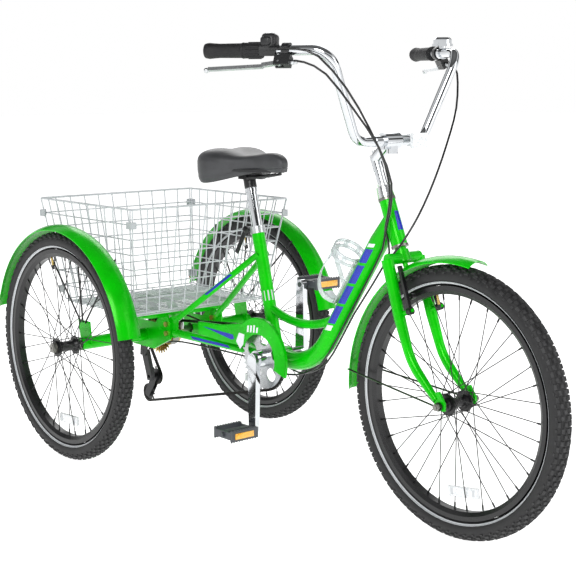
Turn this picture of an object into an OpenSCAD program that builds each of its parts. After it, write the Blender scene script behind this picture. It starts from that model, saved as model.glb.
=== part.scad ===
// Adult tricycle with a step-through frame, rear cargo basket and seven-speed drive.
// +X is forward, +Y is the rider's left, +Z is up. The origin is on the ground, under the
// middle of the whole tricycle. Places inside the modules are measured from the rear axle.

/* [Overall] */
// Distance between the front axle and the rear axle
wheelbase = 1088; // [1040:1:1300]
// Distance between the middles of the two rear wheels
rear_track = 660; // [640:1:800]
// Outer radius of the tyres
wheel_r = 305; // [285:1:306]

/* [Wheels] */
// Width of a tyre
tyre_w = 50; // [40:1:52]
// Diameter of a spoke
spoke_d = 2.2; // [1.8:0.1:2.6]
// Spokes in a wheel
spoke_count = 36; // [28:4:36]
// Diameter of the rear axle
axle_d = 17; // [14:0.5:20]
// Diameter of the front axle
front_axle_d = 9.5; // [8:0.5:12]
// Distance from a wheel's middle to each hub flange
flange_half = 27; // [22:1:32]
// Gap between a tyre and its fender
fender_gap = 13; // [8:1:20]
// Width of a rear fender
rear_fender_w = 66; // [60:1:72]
// Width of the front fender
front_fender_w = 60; // [54:1:64]

/* [Frame] */
// Distance from the rear axle forward to the bottom bracket
bracket_ahead = 482; // [460:1:520]
// Height of the bottom bracket above the ground
bracket_z = 312; // [300:1:330]
// Angle of the seat tube from level
seat_angle = 75.7; // [72:0.1:78]
// Length of the seat tube above the bottom bracket
seat_tube_l = 331; // [300:1:360]
// Outer diameter of the seat post
post_d = 28; // [25:0.5:34]
// Wall of the seat tube
seat_wall = 2.4; // [1.8:0.1:3]
// Diameter of the main tube
main_d = 46; // [38:1:52]
// Diameter of the stiffener tube
stiffener_d = 22; // [18:1:26]
// Wall of the frame tubes
tube_wall = 1.8; // [1.4:0.1:2.4]
// Angle of the steering axis from level
head_angle = 67.3; // [66:0.1:69]
// Distance from the steering axis to the front axle
rake = 38; // [30:1:45]
// Diameter of the head tube
head_d = 37; // [34:1:42]
// Length of the head tube
head_l = 106; // [95:1:120]
// Diameter of the chain stays
chain_stay_d = 22; // [18:1:24]
// Diameter of the seat stays
seat_stay_d = 16; // [14:1:19]
// Diameter of the axle tubes
axle_tube_d = 34; // [32:1:40]
// Distance from the middle to each carrier plate
plate_y = 80; // [78:1:90]

/* [Steering] */
// Diameter of the steerer tube
steerer_d = 25.4; // [24:0.1:26]
// Diameter of the handlebar tube
bar_d = 22.2; // [20:0.1:24]
// Diameter of the handlebar's middle sleeve
sleeve_d = 25.4; // [24:0.1:30]
// Height from the crown to the handlebar clamp along the steering axis
bar_rise = 267; // [250:1:290]
// Reach of the stem ahead of the steering axis
stem_reach = 57; // [45:1:70]

/* [Drive] */
// Length of a crank arm
crank_l = 175; // [165:1:180]
// Teeth of the chainring
ring_teeth = 40; // [38:1:42]
// Distance from the middle to the chain
chain_y = 46; // [44:1:48]
// Width of a pedal
pedal_w = 88; // [80:1:96]

/* [Basket] */
// Length of the basket's rim
basket_l = 449; // [400:1:460]
// Width of the basket's rim
basket_w = 524; // [440:1:540]
// Height of the basket
basket_h = 286; // [240:1:330]
// Diameter of a basket wire
wire_d = 3.6; // [3:0.1:4.5]

/* [Hidden] */
$fn = 64;

paint = "limegreen";
chrome = "gainsboro";
black = "#262626";
zinc = "#c9b26a";

running = 0.1;       // radial clearance of a shaft in its bearing
seat_fit = 0.3;      // gap between neighbours that only rest together
step_r = 0.03;       // how much thinner a bend is than the straights it joins
step_l = 0.2;        // how far a straight reaches into its bend

// Lengthwise places
fender_r = wheel_r + fender_gap;
fender_rise = 6;
reflector_a = 164;
reflector_l = 15;
reflector_r = 19;
reflector_at = fender_r + fender_rise + seat_fit;
rear_reach = -(reflector_at + reflector_l) * cos(reflector_a) + reflector_r * sin(reflector_a);
rear_x = (rear_reach - wheelbase - wheel_r) / 2;

// Wheels
rim_r = wheel_r - 45.5;
rim_in = rim_r - 19.5;
rim_w = 30;
wheel_y = rear_track / 2;
casing_r = tyre_w / 2;
hub_flange_r = 24;
chain_pitch = 12.7;
valve_a = 105;

// Frame points, each [x from the rear axle, y, z]
bracket = [bracket_ahead, 0, bracket_z];
seat_dir = [-cos(seat_angle), 0, sin(seat_angle)];
steer_dir = [-cos(head_angle), 0, sin(head_angle)];
steer_fwd = [sin(head_angle), 0, cos(head_angle)];
steer_foot = [wheelbase, 0, wheel_r] - rake * steer_fwd;
crown_t = fender_r + 17;
head_t = crown_t + 39;
clamp_t = crown_t + bar_rise;
front_hub_p = [wheelbase, 0, wheel_r];
crown_p = on_steer(crown_t + 4, 0, 0);
main_start = on_steer(head_t + head_l * 0.62, 0, 0);
main_corner = bracket + [139, 0, -7];
main_dir = unit(main_start - main_corner);
seat_bore = post_d / 2 + running;
seat_tube_r = seat_bore + seat_wall;
seat_top = on_seat(seat_tube_l);
plate_t = 6;
tab_t = 4.6;
tab_y = plate_y - plate_t / 2 - tab_t / 2 - seat_fit;
stay_y = plate_y - 7;
carrier_z = wheel_r + 74;
carrier_d = 22;
carrier_x = 100;
carrier_y = 150;
axle_tube_end = wheel_y - 44;
axle_end = wheel_y + 44;

function unit(v) = v / norm(v);
function turn(a, b) = acos(max(-1, min(1, unit(a) * unit(b))));
function on_steer(t, f, y) = steer_foot + t * steer_dir + f * steer_fwd + [0, y, 0];
function on_seat(t) = bracket + t * seat_dir;
function on_main(t, f) = main_corner + t * main_dir + f * [-main_dir[2], 0, main_dir[0]];
function pitch_r(teeth) = chain_pitch / (2 * sin(180 / teeth));

// Draws its children with their axes along x, y and z from the point o
module place(x, y, z, o) {
    multmatrix([
        [x[0], y[0], z[0], o[0]], [x[1], y[1], z[1], o[1]], [x[2], y[2], z[2], o[2]], [0, 0, 0, 1]
    ]) children();
}

// Draws its children with +Z along the line from a to b
module along(a, b) {
    z = unit(b - a);
    side = abs(z[1]) < 0.9 ? [0, 1, 0] : [1, 0, 0];
    x = unit(cross(side, z));
    place(x, cross(z, x), z, a) children();
}

module rod(a, b, r1, r2) {
    along(a, b) cylinder(h = norm(b - a), r1 = r1, r2 = r2);
}

// A round bar along points, with its bends rounded to the radii in bend
module pipe(points, r, bend) {
    last = len(points) - 1;
    dir = [for (i = [0:last - 1]) unit(points[i + 1] - points[i])];
    cut = [for (i = [0:last]) i == 0 || i == last ? step_l
        : bend[i] * tan(turn(dir[i - 1], dir[i]) / 2)];
    for (i = [0:last - 1])
        rod(points[i] + dir[i] * (cut[i] - step_l),
            points[i + 1] - dir[i] * (cut[i + 1] - step_l), r[i], r[i + 1]);
    for (i = [1:1:last - 1]) {
        z = unit(cross(dir[i - 1], dir[i]));
        x = cross(dir[i - 1], z);
        place(x, dir[i - 1], z, points[i] - dir[i - 1] * cut[i] - x * bend[i])
            rotate_extrude(angle = turn(dir[i - 1], dir[i]), $fn = 96)
                translate([bend[i], 0]) circle(r[i] - step_r);
    }
}

function same(r, points) = [for (p = points) r];

// Puts the rear axle's ground point at its place in the whole tricycle
module placed() {
    translate([rear_x, 0, 0]) children();
}

// A plate of thickness t in the x-z plane, with its middle at y
module plate(y, t) {
    translate([0, y + t / 2, 0]) rotate([90, 0, 0]) linear_extrude(t) children();
}

// A cylinder along y
module barrel(x, z, y1, y2, r) {
    translate([x, max(y1, y2), z]) rotate([90, 0, 0]) cylinder(h = abs(y2 - y1), r = r);
}

module both_sides() {
    children();
    mirror([0, 1, 0]) children();
}

// Draws its children, built about the z axis, on an axle along y at x and z
module on_axle(x, y, z) {
    translate([x, y, z]) rotate([90, 0, 0]) children();
}

module at_rear(side) {
    on_axle(0, side * wheel_y, wheel_r) children();
}

module at_front() {
    on_axle(wheelbase, 0, wheel_r) children();
}

// Wheels, each built about the z axis

module tyre() {
    bead_w = rim_w - 6;
    core_r = wheel_r - casing_r;
    rotate_extrude($fn = 128) difference() {
        union() {
            intersection() {
                translate([core_r, 0]) circle(casing_r);
                translate([rim_r + seat_fit, -casing_r]) square([2 * casing_r, tyre_w]);
            }
            translate([rim_r - 6, -bead_w / 2]) square([10, bead_w]);
        }
        translate([core_r, 0]) circle(casing_r - 3.5);
        translate([rim_r - 10, -bead_w / 2 + 4]) square([20, bead_w - 8]);
    }
    difference() {
        union() {
            rotate_extrude($fn = 128) translate([core_r, 0]) circle(casing_r - 4);
            rotate([0, 0, valve_a]) rotate([0, 90, 0])
                translate([0, 0, rim_in - 38]) cylinder(h = 60, r = 3);
        }
        rotate_extrude($fn = 128) translate([core_r, 0]) circle(casing_r - 5.2);
        rotate([0, 0, valve_a]) rotate([0, 90, 0])
            translate([0, 0, rim_in - 39]) cylinder(h = 64, r = 1.2);
    }
}

module rim() {
    w = rim_w / 2;
    difference() {
        rotate_extrude($fn = 128) polygon([
            [rim_in, -9], [rim_in, 9], [rim_in + 9, w], [rim_r, w], [rim_r, w - 2.6],
            [rim_r - 7.5, w - 2.6], [rim_in + 6, 7], [rim_in + 6, -7],
            [rim_r - 7.5, 2.6 - w], [rim_r, 2.6 - w], [rim_r, -w], [rim_in + 9, -w]
        ]);
        rotate([0, 0, valve_a]) rotate([0, 90, 0])
            translate([0, 0, rim_in - 10]) cylinder(h = 30, r = 3.3);
    }
}

module hub(bore_r, half_l, shell_r) {
    rotate_extrude() polygon([
        [bore_r, -half_l], [shell_r + 1, -half_l], [shell_r + 3, -flange_half - 6],
        [shell_r + 4, -flange_half - 1.2], [hub_flange_r, -flange_half - 1.2],
        [hub_flange_r, -flange_half + 1.2], [shell_r + 4, -flange_half + 1.2],
        [shell_r, -flange_half + 8], [shell_r, flange_half - 8],
        [shell_r + 4, flange_half - 1.2], [hub_flange_r, flange_half - 1.2],
        [hub_flange_r, flange_half + 1.2], [shell_r + 4, flange_half + 1.2],
        [shell_r + 3, flange_half + 6], [shell_r + 1, half_l], [bore_r, half_l]
    ]);
}

// Crossed spokes with their nipples, and the wheel's reflector
module spokes() {
    lean = 60;
    hook_r = hub_flange_r - 1.5;
    offset_y = spoke_d / 2 + 1.2 + 0.6;
    end_r = rim_in - seat_fit - 0.4;
    for (i = [0:spoke_count - 1]) {
        a = i * 360 / spoke_count;
        face = i % 2 == 0 ? 1 : -1;
        way = i % 4 < 2 ? 1 : -1;
        from = [hook_r * cos(a + way * lean), hook_r * sin(a + way * lean),
            face * (flange_half + way * offset_y)];
        to = [end_r * cos(a), end_r * sin(a), face * 3];
        rod(from, to, spoke_d / 2, spoke_d / 2, $fn = 16);
        rod(to - 12 * unit(to - from), to, spoke_d / 2 + 1, spoke_d / 2 + 1, $fn = 16);
    }
}

module rear_left_tyre() { color(black) placed() at_rear(1) tyre(); }
module rear_left_rim() { color(black) placed() at_rear(1) rim(); }
module rear_left_hub() { color(black) placed() at_rear(1) hub(axle_d / 2 + running / 2, 31, axle_d / 2 + 5); }
module rear_left_spokes() { color(black) placed() at_rear(1) spokes(); }
module rear_right_tyre() { color(black) placed() at_rear(-1) tyre(); }
module rear_right_rim() { color(black) placed() at_rear(-1) rim(); }
module rear_right_hub() { color(black) placed() at_rear(-1) hub(axle_d / 2 + running, 31, axle_d / 2 + 5); }
module rear_right_spokes() { color(black) placed() at_rear(-1) spokes(); }
module front_tyre() { color(black) placed() at_front() tyre(); }
module front_rim() { color(black) placed() at_front() rim(); }
module front_hub() { color(black) placed() at_front() hub(front_axle_d / 2 + running, 36, 11); }
module front_spokes() { color(black) placed() at_front() spokes(); }

module rear_axle() {
    nut_l = 9;
    color("silver") placed() difference() {
        union() {
            barrel(0, wheel_r, -axle_end, axle_end, axle_d / 2);
            both_sides() {
                barrel(0, wheel_r, wheel_y + 31 + seat_fit, wheel_y + 34, axle_d / 2 + 5);
                on_axle(0, wheel_y + 34 + nut_l, wheel_r) cylinder(h = nut_l, r = axle_d / 2 + 5, $fn = 6);
                barrel(0, wheel_r, axle_tube_end + 3, wheel_y - 31 - seat_fit, axle_d / 2 + 3);
            }
        }
        both_sides() barrel(0, wheel_r, axle_end - 8, axle_end + 1, 2.5);
    }
}

module front_axle() {
    nut_r = front_axle_d / 2 + 3.6;
    color("silver") placed() {
        barrel(wheelbase, wheel_r, -69, 69, front_axle_d / 2);
        both_sides() {
            barrel(wheelbase, wheel_r, 36 + seat_fit, 46.7, front_axle_d / 2 + 3);
            on_axle(wheelbase, 66.9, wheel_r) cylinder(h = 7.5, r = nut_r, $fn = 6);
        }
    }
}

// Frame

// The main frame's tubes, thinned all round by cut
module frame_tubes(cut) {
    main_r = main_d / 2 - cut;
    stiff_r = stiffener_d / 2 - cut;
    stiff_a = on_seat(126);
    stiff_b = on_main(170, 0);
    stiff_corner = (stiff_a + stiff_b) / 2 + [0, 0, -57];
    taper = main_start - 70 * main_dir;
    rod(main_start, taper - step_l * main_dir, head_d / 2 - cut - 1.5, main_r - step_r);
    pipe([taper, main_corner, bracket], same(main_r, [1, 1, 1]), [0, 165, 0]);
    rod(on_seat(0), on_seat(seat_tube_l - (cut > 0 ? 60 : 0)), seat_tube_r - cut, seat_tube_r - cut);
    pipe([stiff_a, stiff_corner, stiff_b], same(stiff_r, [1, 1, 1]), [0, 285, 0]);
    both_sides() {
        chain_r = chain_stay_d / 2 - cut;
        pipe([bracket + [-8, 18, 0], bracket + [-97, 24, 3], [134 + cut, stay_y - 2, wheel_r + 24]],
            same(chain_r, [1, 1, 1]), [0, 60, 0]);
        pipe([on_seat(264) + [4, 12, 0], [136 + cut, stay_y - 2, wheel_r + 57]],
            same(seat_stay_d / 2 - cut, [1, 1]), [0, 0]);
    }
}

module main_frame() {
    head_a = on_steer(head_t, 0, 0);
    head_b = on_steer(head_t + head_l, 0, 0);
    cup_r = head_d / 2 - 2.5;
    color(paint) placed() difference() {
        union() {
            difference() {
                union() {
                    frame_tubes(0);
                    barrel(bracket[0], bracket[2], -34, 34, 21);
                    rod(head_a, head_b, head_d / 2, head_d / 2);
                }
                frame_tubes(tube_wall);
            }
            both_sides() plate(tab_y, tab_t) polygon([
                [98, wheel_r + 10], [98, wheel_r + 52], [126, wheel_r + 68], [152, wheel_r + 74],
                [152, wheel_r + 14], [140, wheel_r + 10]
            ]);
        }
        rod(on_steer(head_t - 30, 0, 0), on_steer(head_t + head_l + 30, 0, 0), cup_r, cup_r);
        rod(on_seat(40), on_seat(seat_tube_l + 20), seat_bore, seat_bore);
        barrel(bracket[0], bracket[2], -40, 40, 17.5);
        for (z = stay_bolt_z) barrel(stay_bolt_x, z, -plate_y - 5, plate_y + 5, 4.1);
    }
}

stay_bolt_x = 112;
stay_bolt_z = [wheel_r + 20, wheel_r + 45];

// Two cups in the bottom bracket, two in the head tube and four in the axle tubes
module frame_bearings() {
    cup_r = head_d / 2 - 2.5 - 0.05;
    spindle_r = 8.5 + running;
    color("dimgray") placed() {
        both_sides() difference() {
            union() {
                barrel(bracket[0], bracket[2], 20, 34, 17.45);
                barrel(bracket[0], bracket[2], 34 + 0.05, 38, 20);
            }
            barrel(bracket[0], bracket[2], 19, 39, spindle_r);
        }
        for (end = [0, 1]) {
            from = end == 0 ? head_t : head_t + head_l;
            way = end == 0 ? 1 : -1;
            difference() {
                union() {
                    rod(on_steer(from - way * 6, 0, 0), on_steer(from - way * 0.05, 0, 0),
                        head_d / 2 + 1.5, head_d / 2 + 1.5);
                    rod(on_steer(from - way * 0.05, 0, 0), on_steer(from + way * 12, 0, 0), cup_r, cup_r);
                }
                rod(on_steer(from - way * 8, 0, 0), on_steer(from + way * 14, 0, 0),
                    steerer_d / 2 + running, steerer_d / 2 + running);
            }
        }
        both_sides() for (y = [plate_y + 4, axle_tube_end - 14]) difference() {
            barrel(0, wheel_r, y, y + 12, axle_tube_d / 2 - 3 - 0.05);
            barrel(0, wheel_r, y - 1, y + 13, axle_d / 2 + running);
        }
    }
}

// Carrier that joins the frame, the rear axle and the basket

module rear_carrier() {
    carrier_r = carrier_d / 2;
    x = carrier_x;
    y = carrier_y;
    z = carrier_z;
    ring = [[9, y, z], [x, y, z], [x, -y, z], [-x, -y, z], [-x, y, z], [-9, y, z]];
    bend = [0, 40, 40, 40, 40, 0];
    color(paint) placed() difference() {
        union() {
            difference() {
                pipe(ring, same(carrier_r, ring), bend);
                pipe(ring, same(carrier_r - tube_wall, ring), bend);
            }
            rod([0, -y, z - carrier_r + 2], [0, -y, z - carrier_r + 21.5], 12, 12);
            rod([0, y, z - carrier_r + 2], [0, y, z - carrier_r + 21.5], 12, 12);
            both_sides() {
                rod([0, y, wheel_r + 4], [0, y, z - 6], 11, 11);
                barrel(0, wheel_r, plate_y, axle_tube_end, axle_tube_d / 2);
                plate(plate_y, plate_t) polygon([
                    [-50, wheel_r - 32], [50, wheel_r - 32], [126, wheel_r + 4], [128, wheel_r + 50],
                    [112, z - 3], [88, z - 3], [58, wheel_r + 42], [-58, wheel_r + 42],
                    [-88, z - 3], [-112, z - 3], [-116, wheel_r + 52], [-74, wheel_r - 6]
                ]);
                plate(axle_tube_end - 20, 4) polygon([
                    [-26, wheel_r], [26, wheel_r], [18, wheel_r + 60], [-38, wheel_r + 60]
                ]);
            }
        }
        barrel(0, wheel_r, -wheel_y, wheel_y, axle_tube_d / 2 - 3);
        for (bz = stay_bolt_z) barrel(stay_bolt_x, bz, -plate_y - 5, plate_y + 5, 4.1);
    }
}

// Bolts for the stays, and the clips that hold the basket together and to its carrier
module frame_fasteners() {
    color(zinc) placed() both_sides() for (z = stay_bolt_z) {
        barrel(stay_bolt_x, z, tab_y - tab_t / 2 - 8, plate_y + plate_t / 2 + 6, 4);
        on_axle(stay_bolt_x, plate_y + plate_t / 2 + 5.7, z) cylinder(h = 5.5, r = 7.5, $fn = 6);
        on_axle(stay_bolt_x, tab_y - tab_t / 2 - 0.2, z) cylinder(h = 6, r = 7.5, $fn = 6);
    }
    color("lightgray") placed() for (sx = [-1, 1], sy = [-1, 1], level = [0.12, 0.86])
        translate(basket_point(sx, sy, level, 0)) scale_side(sx, sy) {
            lean_x = seat_fit + clip_h / 2 * taper_x / basket_h;
            lean_y = seat_fit + clip_h / 2 * taper_y / basket_h;
            translate([panel_step + wire_d / 2 + lean_x, -14, -clip_h / 2]) cube([3, 17 + lean_y, clip_h]);
            translate([-12, wire_d / 2 - panel_step + lean_y, -clip_h / 2])
                cube([15 + panel_step + wire_d / 2 + lean_x, 3, clip_h]);
        }
}

// Mirrors its children to the side that sx and sy give
module scale_side(sx, sy) {
    mirror([sx < 0 ? 1 : 0, 0, 0]) mirror([0, sy < 0 ? 1 : 0, 0]) children();
}

// Basket

panel_step = 3;      // how far the end panels stand out of the basket's outline, and the sides in
clip_h = 18;
basket_x = -12;
taper_x = 58;
taper_y = 38;
floor_z = carrier_z + carrier_d / 2 + wire_d / 2 + 0.2;

// A point on a basket corner, at a share of its height and moved outwards by grow
function basket_point(sx, sy, level, grow) = [
    basket_x + sx * (basket_l / 2 - taper_x * (1 - level) + grow),
    sy * (basket_w / 2 - taper_y * (1 - level) + grow),
    floor_z + level * basket_h
];

// A welded wire panel between four corners, in order round it
module wire_panel(a, b, c, d, uprights, rows) {
    r = wire_d / 2;
    out = unit(cross(b - a, d - a)) * (wire_d - 0.7);
    for (i = [0:uprights - 1]) {
        s = i / (uprights - 1);
        rod(a + s * (b - a), d + s * (c - d), r, r, $fn = 16);
    }
    for (i = [0:rows - 1]) {
        s = i / (rows - 1);
        edge = i == rows - 1 ? r + 1 : r;
        rod(a + s * (d - a) + out, b + s * (c - b) + out, edge, edge, $fn = 16);
    }
}

module basket_side_panels() {
    g = -panel_step;
    color("whitesmoke") placed() for (side = [-1, 1])
        wire_panel(basket_point(-side, side, 0.02, g), basket_point(side, side, 0.02, g),
            basket_point(side, side, 1, g), basket_point(-side, side, 1, g), 12, 8);
}

module basket_end_panels() {
    g = panel_step;
    color("whitesmoke") placed() for (side = [-1, 1])
        wire_panel(basket_point(side, side, 0.02, g) - [0, side * 9, 0],
            basket_point(side, -side, 0.02, g) + [0, side * 9, 0],
            basket_point(side, -side, 1, g) + [0, side * 9, 0],
            basket_point(side, side, 1, g) - [0, side * 9, 0], 12, 8);
}

module basket_floor() {
    half_l = basket_l / 2 - taper_x - 3;
    half_w = basket_w / 2 - taper_y - 7.4;
    r = wire_d / 2;
    color("whitesmoke") placed() translate([basket_x, 0, floor_z]) {
        for (i = [0:17]) {
            x = -half_l + i * 2 * half_l / 17;
            rod([x, -half_w, 0], [x, half_w, 0], r, r, $fn = 16);
        }
        for (i = [0:6]) {
            y = -half_w + 6 + i * (2 * half_w - 12) / 6;
            rod([-half_l - 2.7, y, wire_d - 0.7], [half_l + 2.7, y, wire_d - 0.7], r, r, $fn = 16);
        }
    }
}

// Fenders

// A curved fender section swept from one angle to another about a wheel
module fender_sweep(w, from, to) {
    sag = 12;
    arch_r = (w * w / 4 + sag * sag) / (2 * sag);
    rotate([0, 0, from]) rotate_extrude(angle = to - from, $fn = 128) intersection() {
        translate([fender_r - arch_r + fender_rise, 0]) difference() {
            circle(arch_r);
            circle(arch_r - 1.6);
        }
        translate([fender_r - 12, -w / 2]) square([20, w]);
    }
}

module rear_fenders() {
    color(paint) placed() for (side = [-1, 1]) at_rear(side) fender_sweep(rear_fender_w, 12, 167);
}

module rear_fender_stays() {
    r = 2.4;
    y = axle_tube_end - 18 + r + seat_fit;
    edge_r = fender_r - fender_rise;
    color(black) placed() both_sides() for (a = [52, 90, 122])
        rod([20 * cos(a) - 10, y, wheel_r + 56], [edge_r * cos(a), wheel_y - rear_fender_w / 2 - r - seat_fit,
            wheel_r + edge_r * sin(a) + r], r, r, $fn = 16);
}

module rear_reflectors() {
    color("darkred") placed() for (side = [-1, 1]) at_rear(side) rotate([0, 0, reflector_a])
        translate([reflector_at, 0, 0]) rotate([0, 90, 0])
            cylinder(h = reflector_l, r1 = 14, r2 = reflector_r);
}

module front_fender() {
    stay_r = 2.2;
    stay_a = 175;
    eye_y = 54.4 + stay_r;
    edge_r = fender_r - fender_rise + 1;
    color(paint) placed() at_front() fender_sweep(front_fender_w, 80, 184);
    color(black) placed() both_sides() {
        rod([wheelbase - 8, eye_y, wheel_r - 1], [wheelbase + edge_r * cos(stay_a),
            front_fender_w / 2 + stay_r + seat_fit, wheel_r + edge_r * sin(stay_a)], stay_r, stay_r, $fn = 16);
        difference() {
            barrel(wheelbase, wheel_r, eye_y - stay_r, eye_y + stay_r, 10);
            barrel(wheelbase, wheel_r, 40, 70, front_axle_d / 2 + 0.05);
        }
    }
}

// Chain guard

module chain_guard() {
    y = chain_y + 17;
    outer = 104;
    color(paint) placed() {
        plate(-y, 2) difference() {
            union() {
                intersection() {
                    translate([bracket[0], bracket[2]]) circle(outer);
                    translate([bracket[0] - outer, bracket[2] - 30]) square([2 * outer, 2 * outer]);
                }
                polygon([
                    [228, bracket[2] + 30], [232, bracket[2] + 58], [bracket[0] - 30, bracket[2] + 99],
                    [bracket[0] - 30, bracket[2] - 28], [bracket[0] - 96, bracket[2] - 28]
                ]);
            }
            translate([bracket[0], bracket[2]]) circle(23);
            for (a = [-6, 44, 92, 140])
                translate([bracket[0] + 64 * cos(a), bracket[2] + 64 * sin(a)]) circle(15);
            translate([bracket[0] - 140, bracket[2] + 26]) circle(15);
        }
        for (p = [[300, bracket[2] + 62], [440, bracket[2] + 90]])
            barrel(p[0], p[1], -y + 1, -y + 6, 4);
    }
}

// Brakes

module brake_drum() {
    color(zinc) placed() difference() {
        union() {
            barrel(0, wheel_r, -18, 22, 37);
            barrel(0, wheel_r, 22, 44, axle_d / 2 + 6);
        }
        barrel(0, wheel_r, -19, 45, axle_d / 2 + running / 2);
        for (side = [-19, 4]) difference() {
            barrel(0, wheel_r, side, side + 19, 33);
            barrel(0, wheel_r, side - 1, side + 20, axle_d / 2 + 8);
        }
    }
}

brake_pivot = [52, 0, wheel_r + 22];

module brake_band() {
    band_in = 38;
    color("dimgray") placed() {
        difference() {
            union() {
                barrel(0, wheel_r, -9, 13, band_in + 2.4);
                plate(2, 22) polygon([
                    [-36, wheel_r + 12], [-26, wheel_r + 28], [-86, carrier_z - 3], [-94, carrier_z - 13]
                ]);
            }
            barrel(0, wheel_r, -10, 14, band_in);
            translate([20, -20, wheel_r + 4]) cube([40, 40, 26]);
        }
        plate(2, 4) difference() {
            polygon([
                [36, wheel_r - 14], [62, wheel_r + 12], [62, wheel_r + 32], [42, wheel_r + 32],
                [44, wheel_r + 8], [39, wheel_r + 2]
            ]);
            translate([0, wheel_r]) circle(39);
            translate([brake_pivot[0], brake_pivot[2]]) circle(3 + running);
        }
    }
}

module rear_brake_arm() {
    x = brake_pivot[0];
    z = brake_pivot[2];
    color("silver") placed() {
        barrel(x, z, -6, 15, 3);
        difference() {
            plate(8, 4) polygon([[x - 9, z - 9], [x + 9, z - 9], [x + 14, z + 44], [x + 2, z + 46]]);
            barrel(x + 8, z + 37, 0, 20, 2.4);
        }
    }
}

module v_arm() {
    // built on the rider's right, with its boss at the origin and +X along the steering axis
    pivot_r = 6.5;
    difference() {
        union() {
            cylinder(h = 12, r = pivot_r + 2);
            translate([0, -4, 2]) rotate([0, 0, 3]) cube([104, 9, 7]);
            translate([32, 4, 5.5]) rotate([-90, 0, 0]) cylinder(h = 10, r = 3.4);
            translate([32, 13.5, 5.5]) rotate([-90, 0, 0]) cylinder(h = 12, r = 7);
        }
        translate([0, 0, -1]) cylinder(h = 14, r = pivot_r / 2 + running + 0.6);
    }
}

boss_t = (wheel_r - 45.5 - 32) - 9;
boss_f = 17;
boss_y = 47;

// Stands v_arm on the fork: +X up the steering axis, +Y towards the wheel, +Z forward
module at_boss() {
    place(steer_dir, [0, 1, 0], steer_fwd, on_steer(boss_t, boss_f, -boss_y)) children();
}

module v_brake_arm_right() { color(black) placed() at_boss() v_arm(); }
module v_brake_arm_left() { color(black) placed() mirror([0, 1, 0]) at_boss() v_arm(); }

// Steering

module fork() {
    blade_y = 50;
    steel = steerer_d / 2 - 1.3;
    color(paint) placed() difference() {
        union() {
            rod(on_steer(crown_t, 0, 0), on_steer(head_t + head_l + 40, 0, 0), steerer_d / 2, steerer_d / 2);
            rod(on_steer(crown_t, 0, 0), on_steer(head_t - 12.5, 0, 0), 18, 16.5);
            rod(on_steer(crown_t + 9, 0, -blade_y), on_steer(crown_t + 9, 0, blade_y), 13, 13);
            rod(front_hub_p + (fender_r + fender_rise + seat_fit) * unit(crown_p - front_hub_p), crown_p, 6, 6);
            both_sides() {
                pipe([on_steer(crown_t + 9, 0, blade_y), on_steer(215, -10, blade_y + 1),
                    on_steer(110, -12, blade_y + 1), on_steer(16, rake - 7.5, blade_y + 0.5)],
                    [14, 13, 11, 8], [0, 150, 150, 0]);
                plate(blade_y, 6) polygon([
                    [wheelbase - 13, wheel_r - 9], [wheelbase + 13, wheel_r - 9],
                    [wheelbase + 13, wheel_r + 8], [wheelbase - 4, wheel_r + 32],
                    [wheelbase - 22, wheel_r + 26]
                ]);
                rod(on_steer(boss_t, -4, boss_y), on_steer(boss_t, boss_f - 0.4, boss_y), 6, 6);
                rod(on_steer(boss_t, boss_f - 1, boss_y), on_steer(boss_t, boss_f + 15, boss_y), 3.8, 3.8);
            }
        }
        rod(on_steer(crown_t + 30, 0, 0), on_steer(head_t + head_l + 50, 0, 0), steel, steel);
        both_sides() barrel(wheelbase, wheel_r, 30, 70, front_axle_d / 2 + 0.05);
    }
    color("silver") placed() difference() {
        rod(on_steer(head_t + head_l + 7, 0, 0), on_steer(head_t + head_l + 33, 0, 0),
            head_d / 2 + 1, head_d / 2 - 1.5);
        rod(on_steer(head_t, 0, 0), on_steer(head_t + head_l + 40, 0, 0),
            steerer_d / 2 + 0.05, steerer_d / 2 + 0.05);
    }
}

module stem() {
    quill_r = steerer_d / 2 - 1.3 - running;
    neck = on_steer(clamp_t - 20, 0, 0);
    clamp = on_steer(clamp_t, stem_reach, 0);
    color(chrome) placed() difference() {
        union() {
            rod(on_steer(head_t + 5, 0, 0), neck, quill_r, quill_r);
            rod(neck - 30 * steer_dir, neck + 8 * steer_dir, quill_r + 1.5, quill_r + 1.5);
            rod(on_steer(clamp_t - 22, 0, 0), clamp, 14, 12.5);
            translate([0, 24, 0]) rod(clamp + [0, -48, 0], clamp, sleeve_d / 2 + 6, sleeve_d / 2 + 6);
            translate(clamp + [0, -11, -28]) cube([15, 22, 22]);
        }
        rod(clamp + [0, -60, 0], clamp + [0, 60, 0], sleeve_d / 2 + 0.05, sleeve_d / 2 + 0.05);
        translate(clamp + [6, -30, -36]) cube([2, 60, 28]);
    }
    color("silver") placed() rod(on_steer(clamp_t - 12, 0, 0), on_steer(clamp_t - 2, 0, 0), 5, 5);
}

// The handlebar's right half, from its middle to the start of the grip's straight
clamp_p = on_steer(clamp_t, stem_reach, 0);
bar_low = clamp_p + [0, -105, 0];
bar_high = clamp_p + [20, -200, 198];
grip_dir = unit([-263, -129, 0]);
grip_end = 290;
bar_end = bar_high + grip_end * grip_dir;

// Stands its children on the right grip's straight: +X out along it, +Z up, from the top bend
module on_grip() {
    place(grip_dir, cross([0, 0, 1], grip_dir), [0, 0, 1], bar_high) children();
}

function mirrored(p) = [p[0], -p[1], p[2]];

module handlebar_solid(cut, extra) {
    pipe([bar_end + grip_dir * extra, bar_high, bar_low, mirrored(bar_low), mirrored(bar_high),
        mirrored(bar_end + grip_dir * extra)],
        same(bar_d / 2 - cut, [1, 1, 1, 1, 1, 1]), [0, 48, 42, 42, 48, 0]);
}

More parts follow.
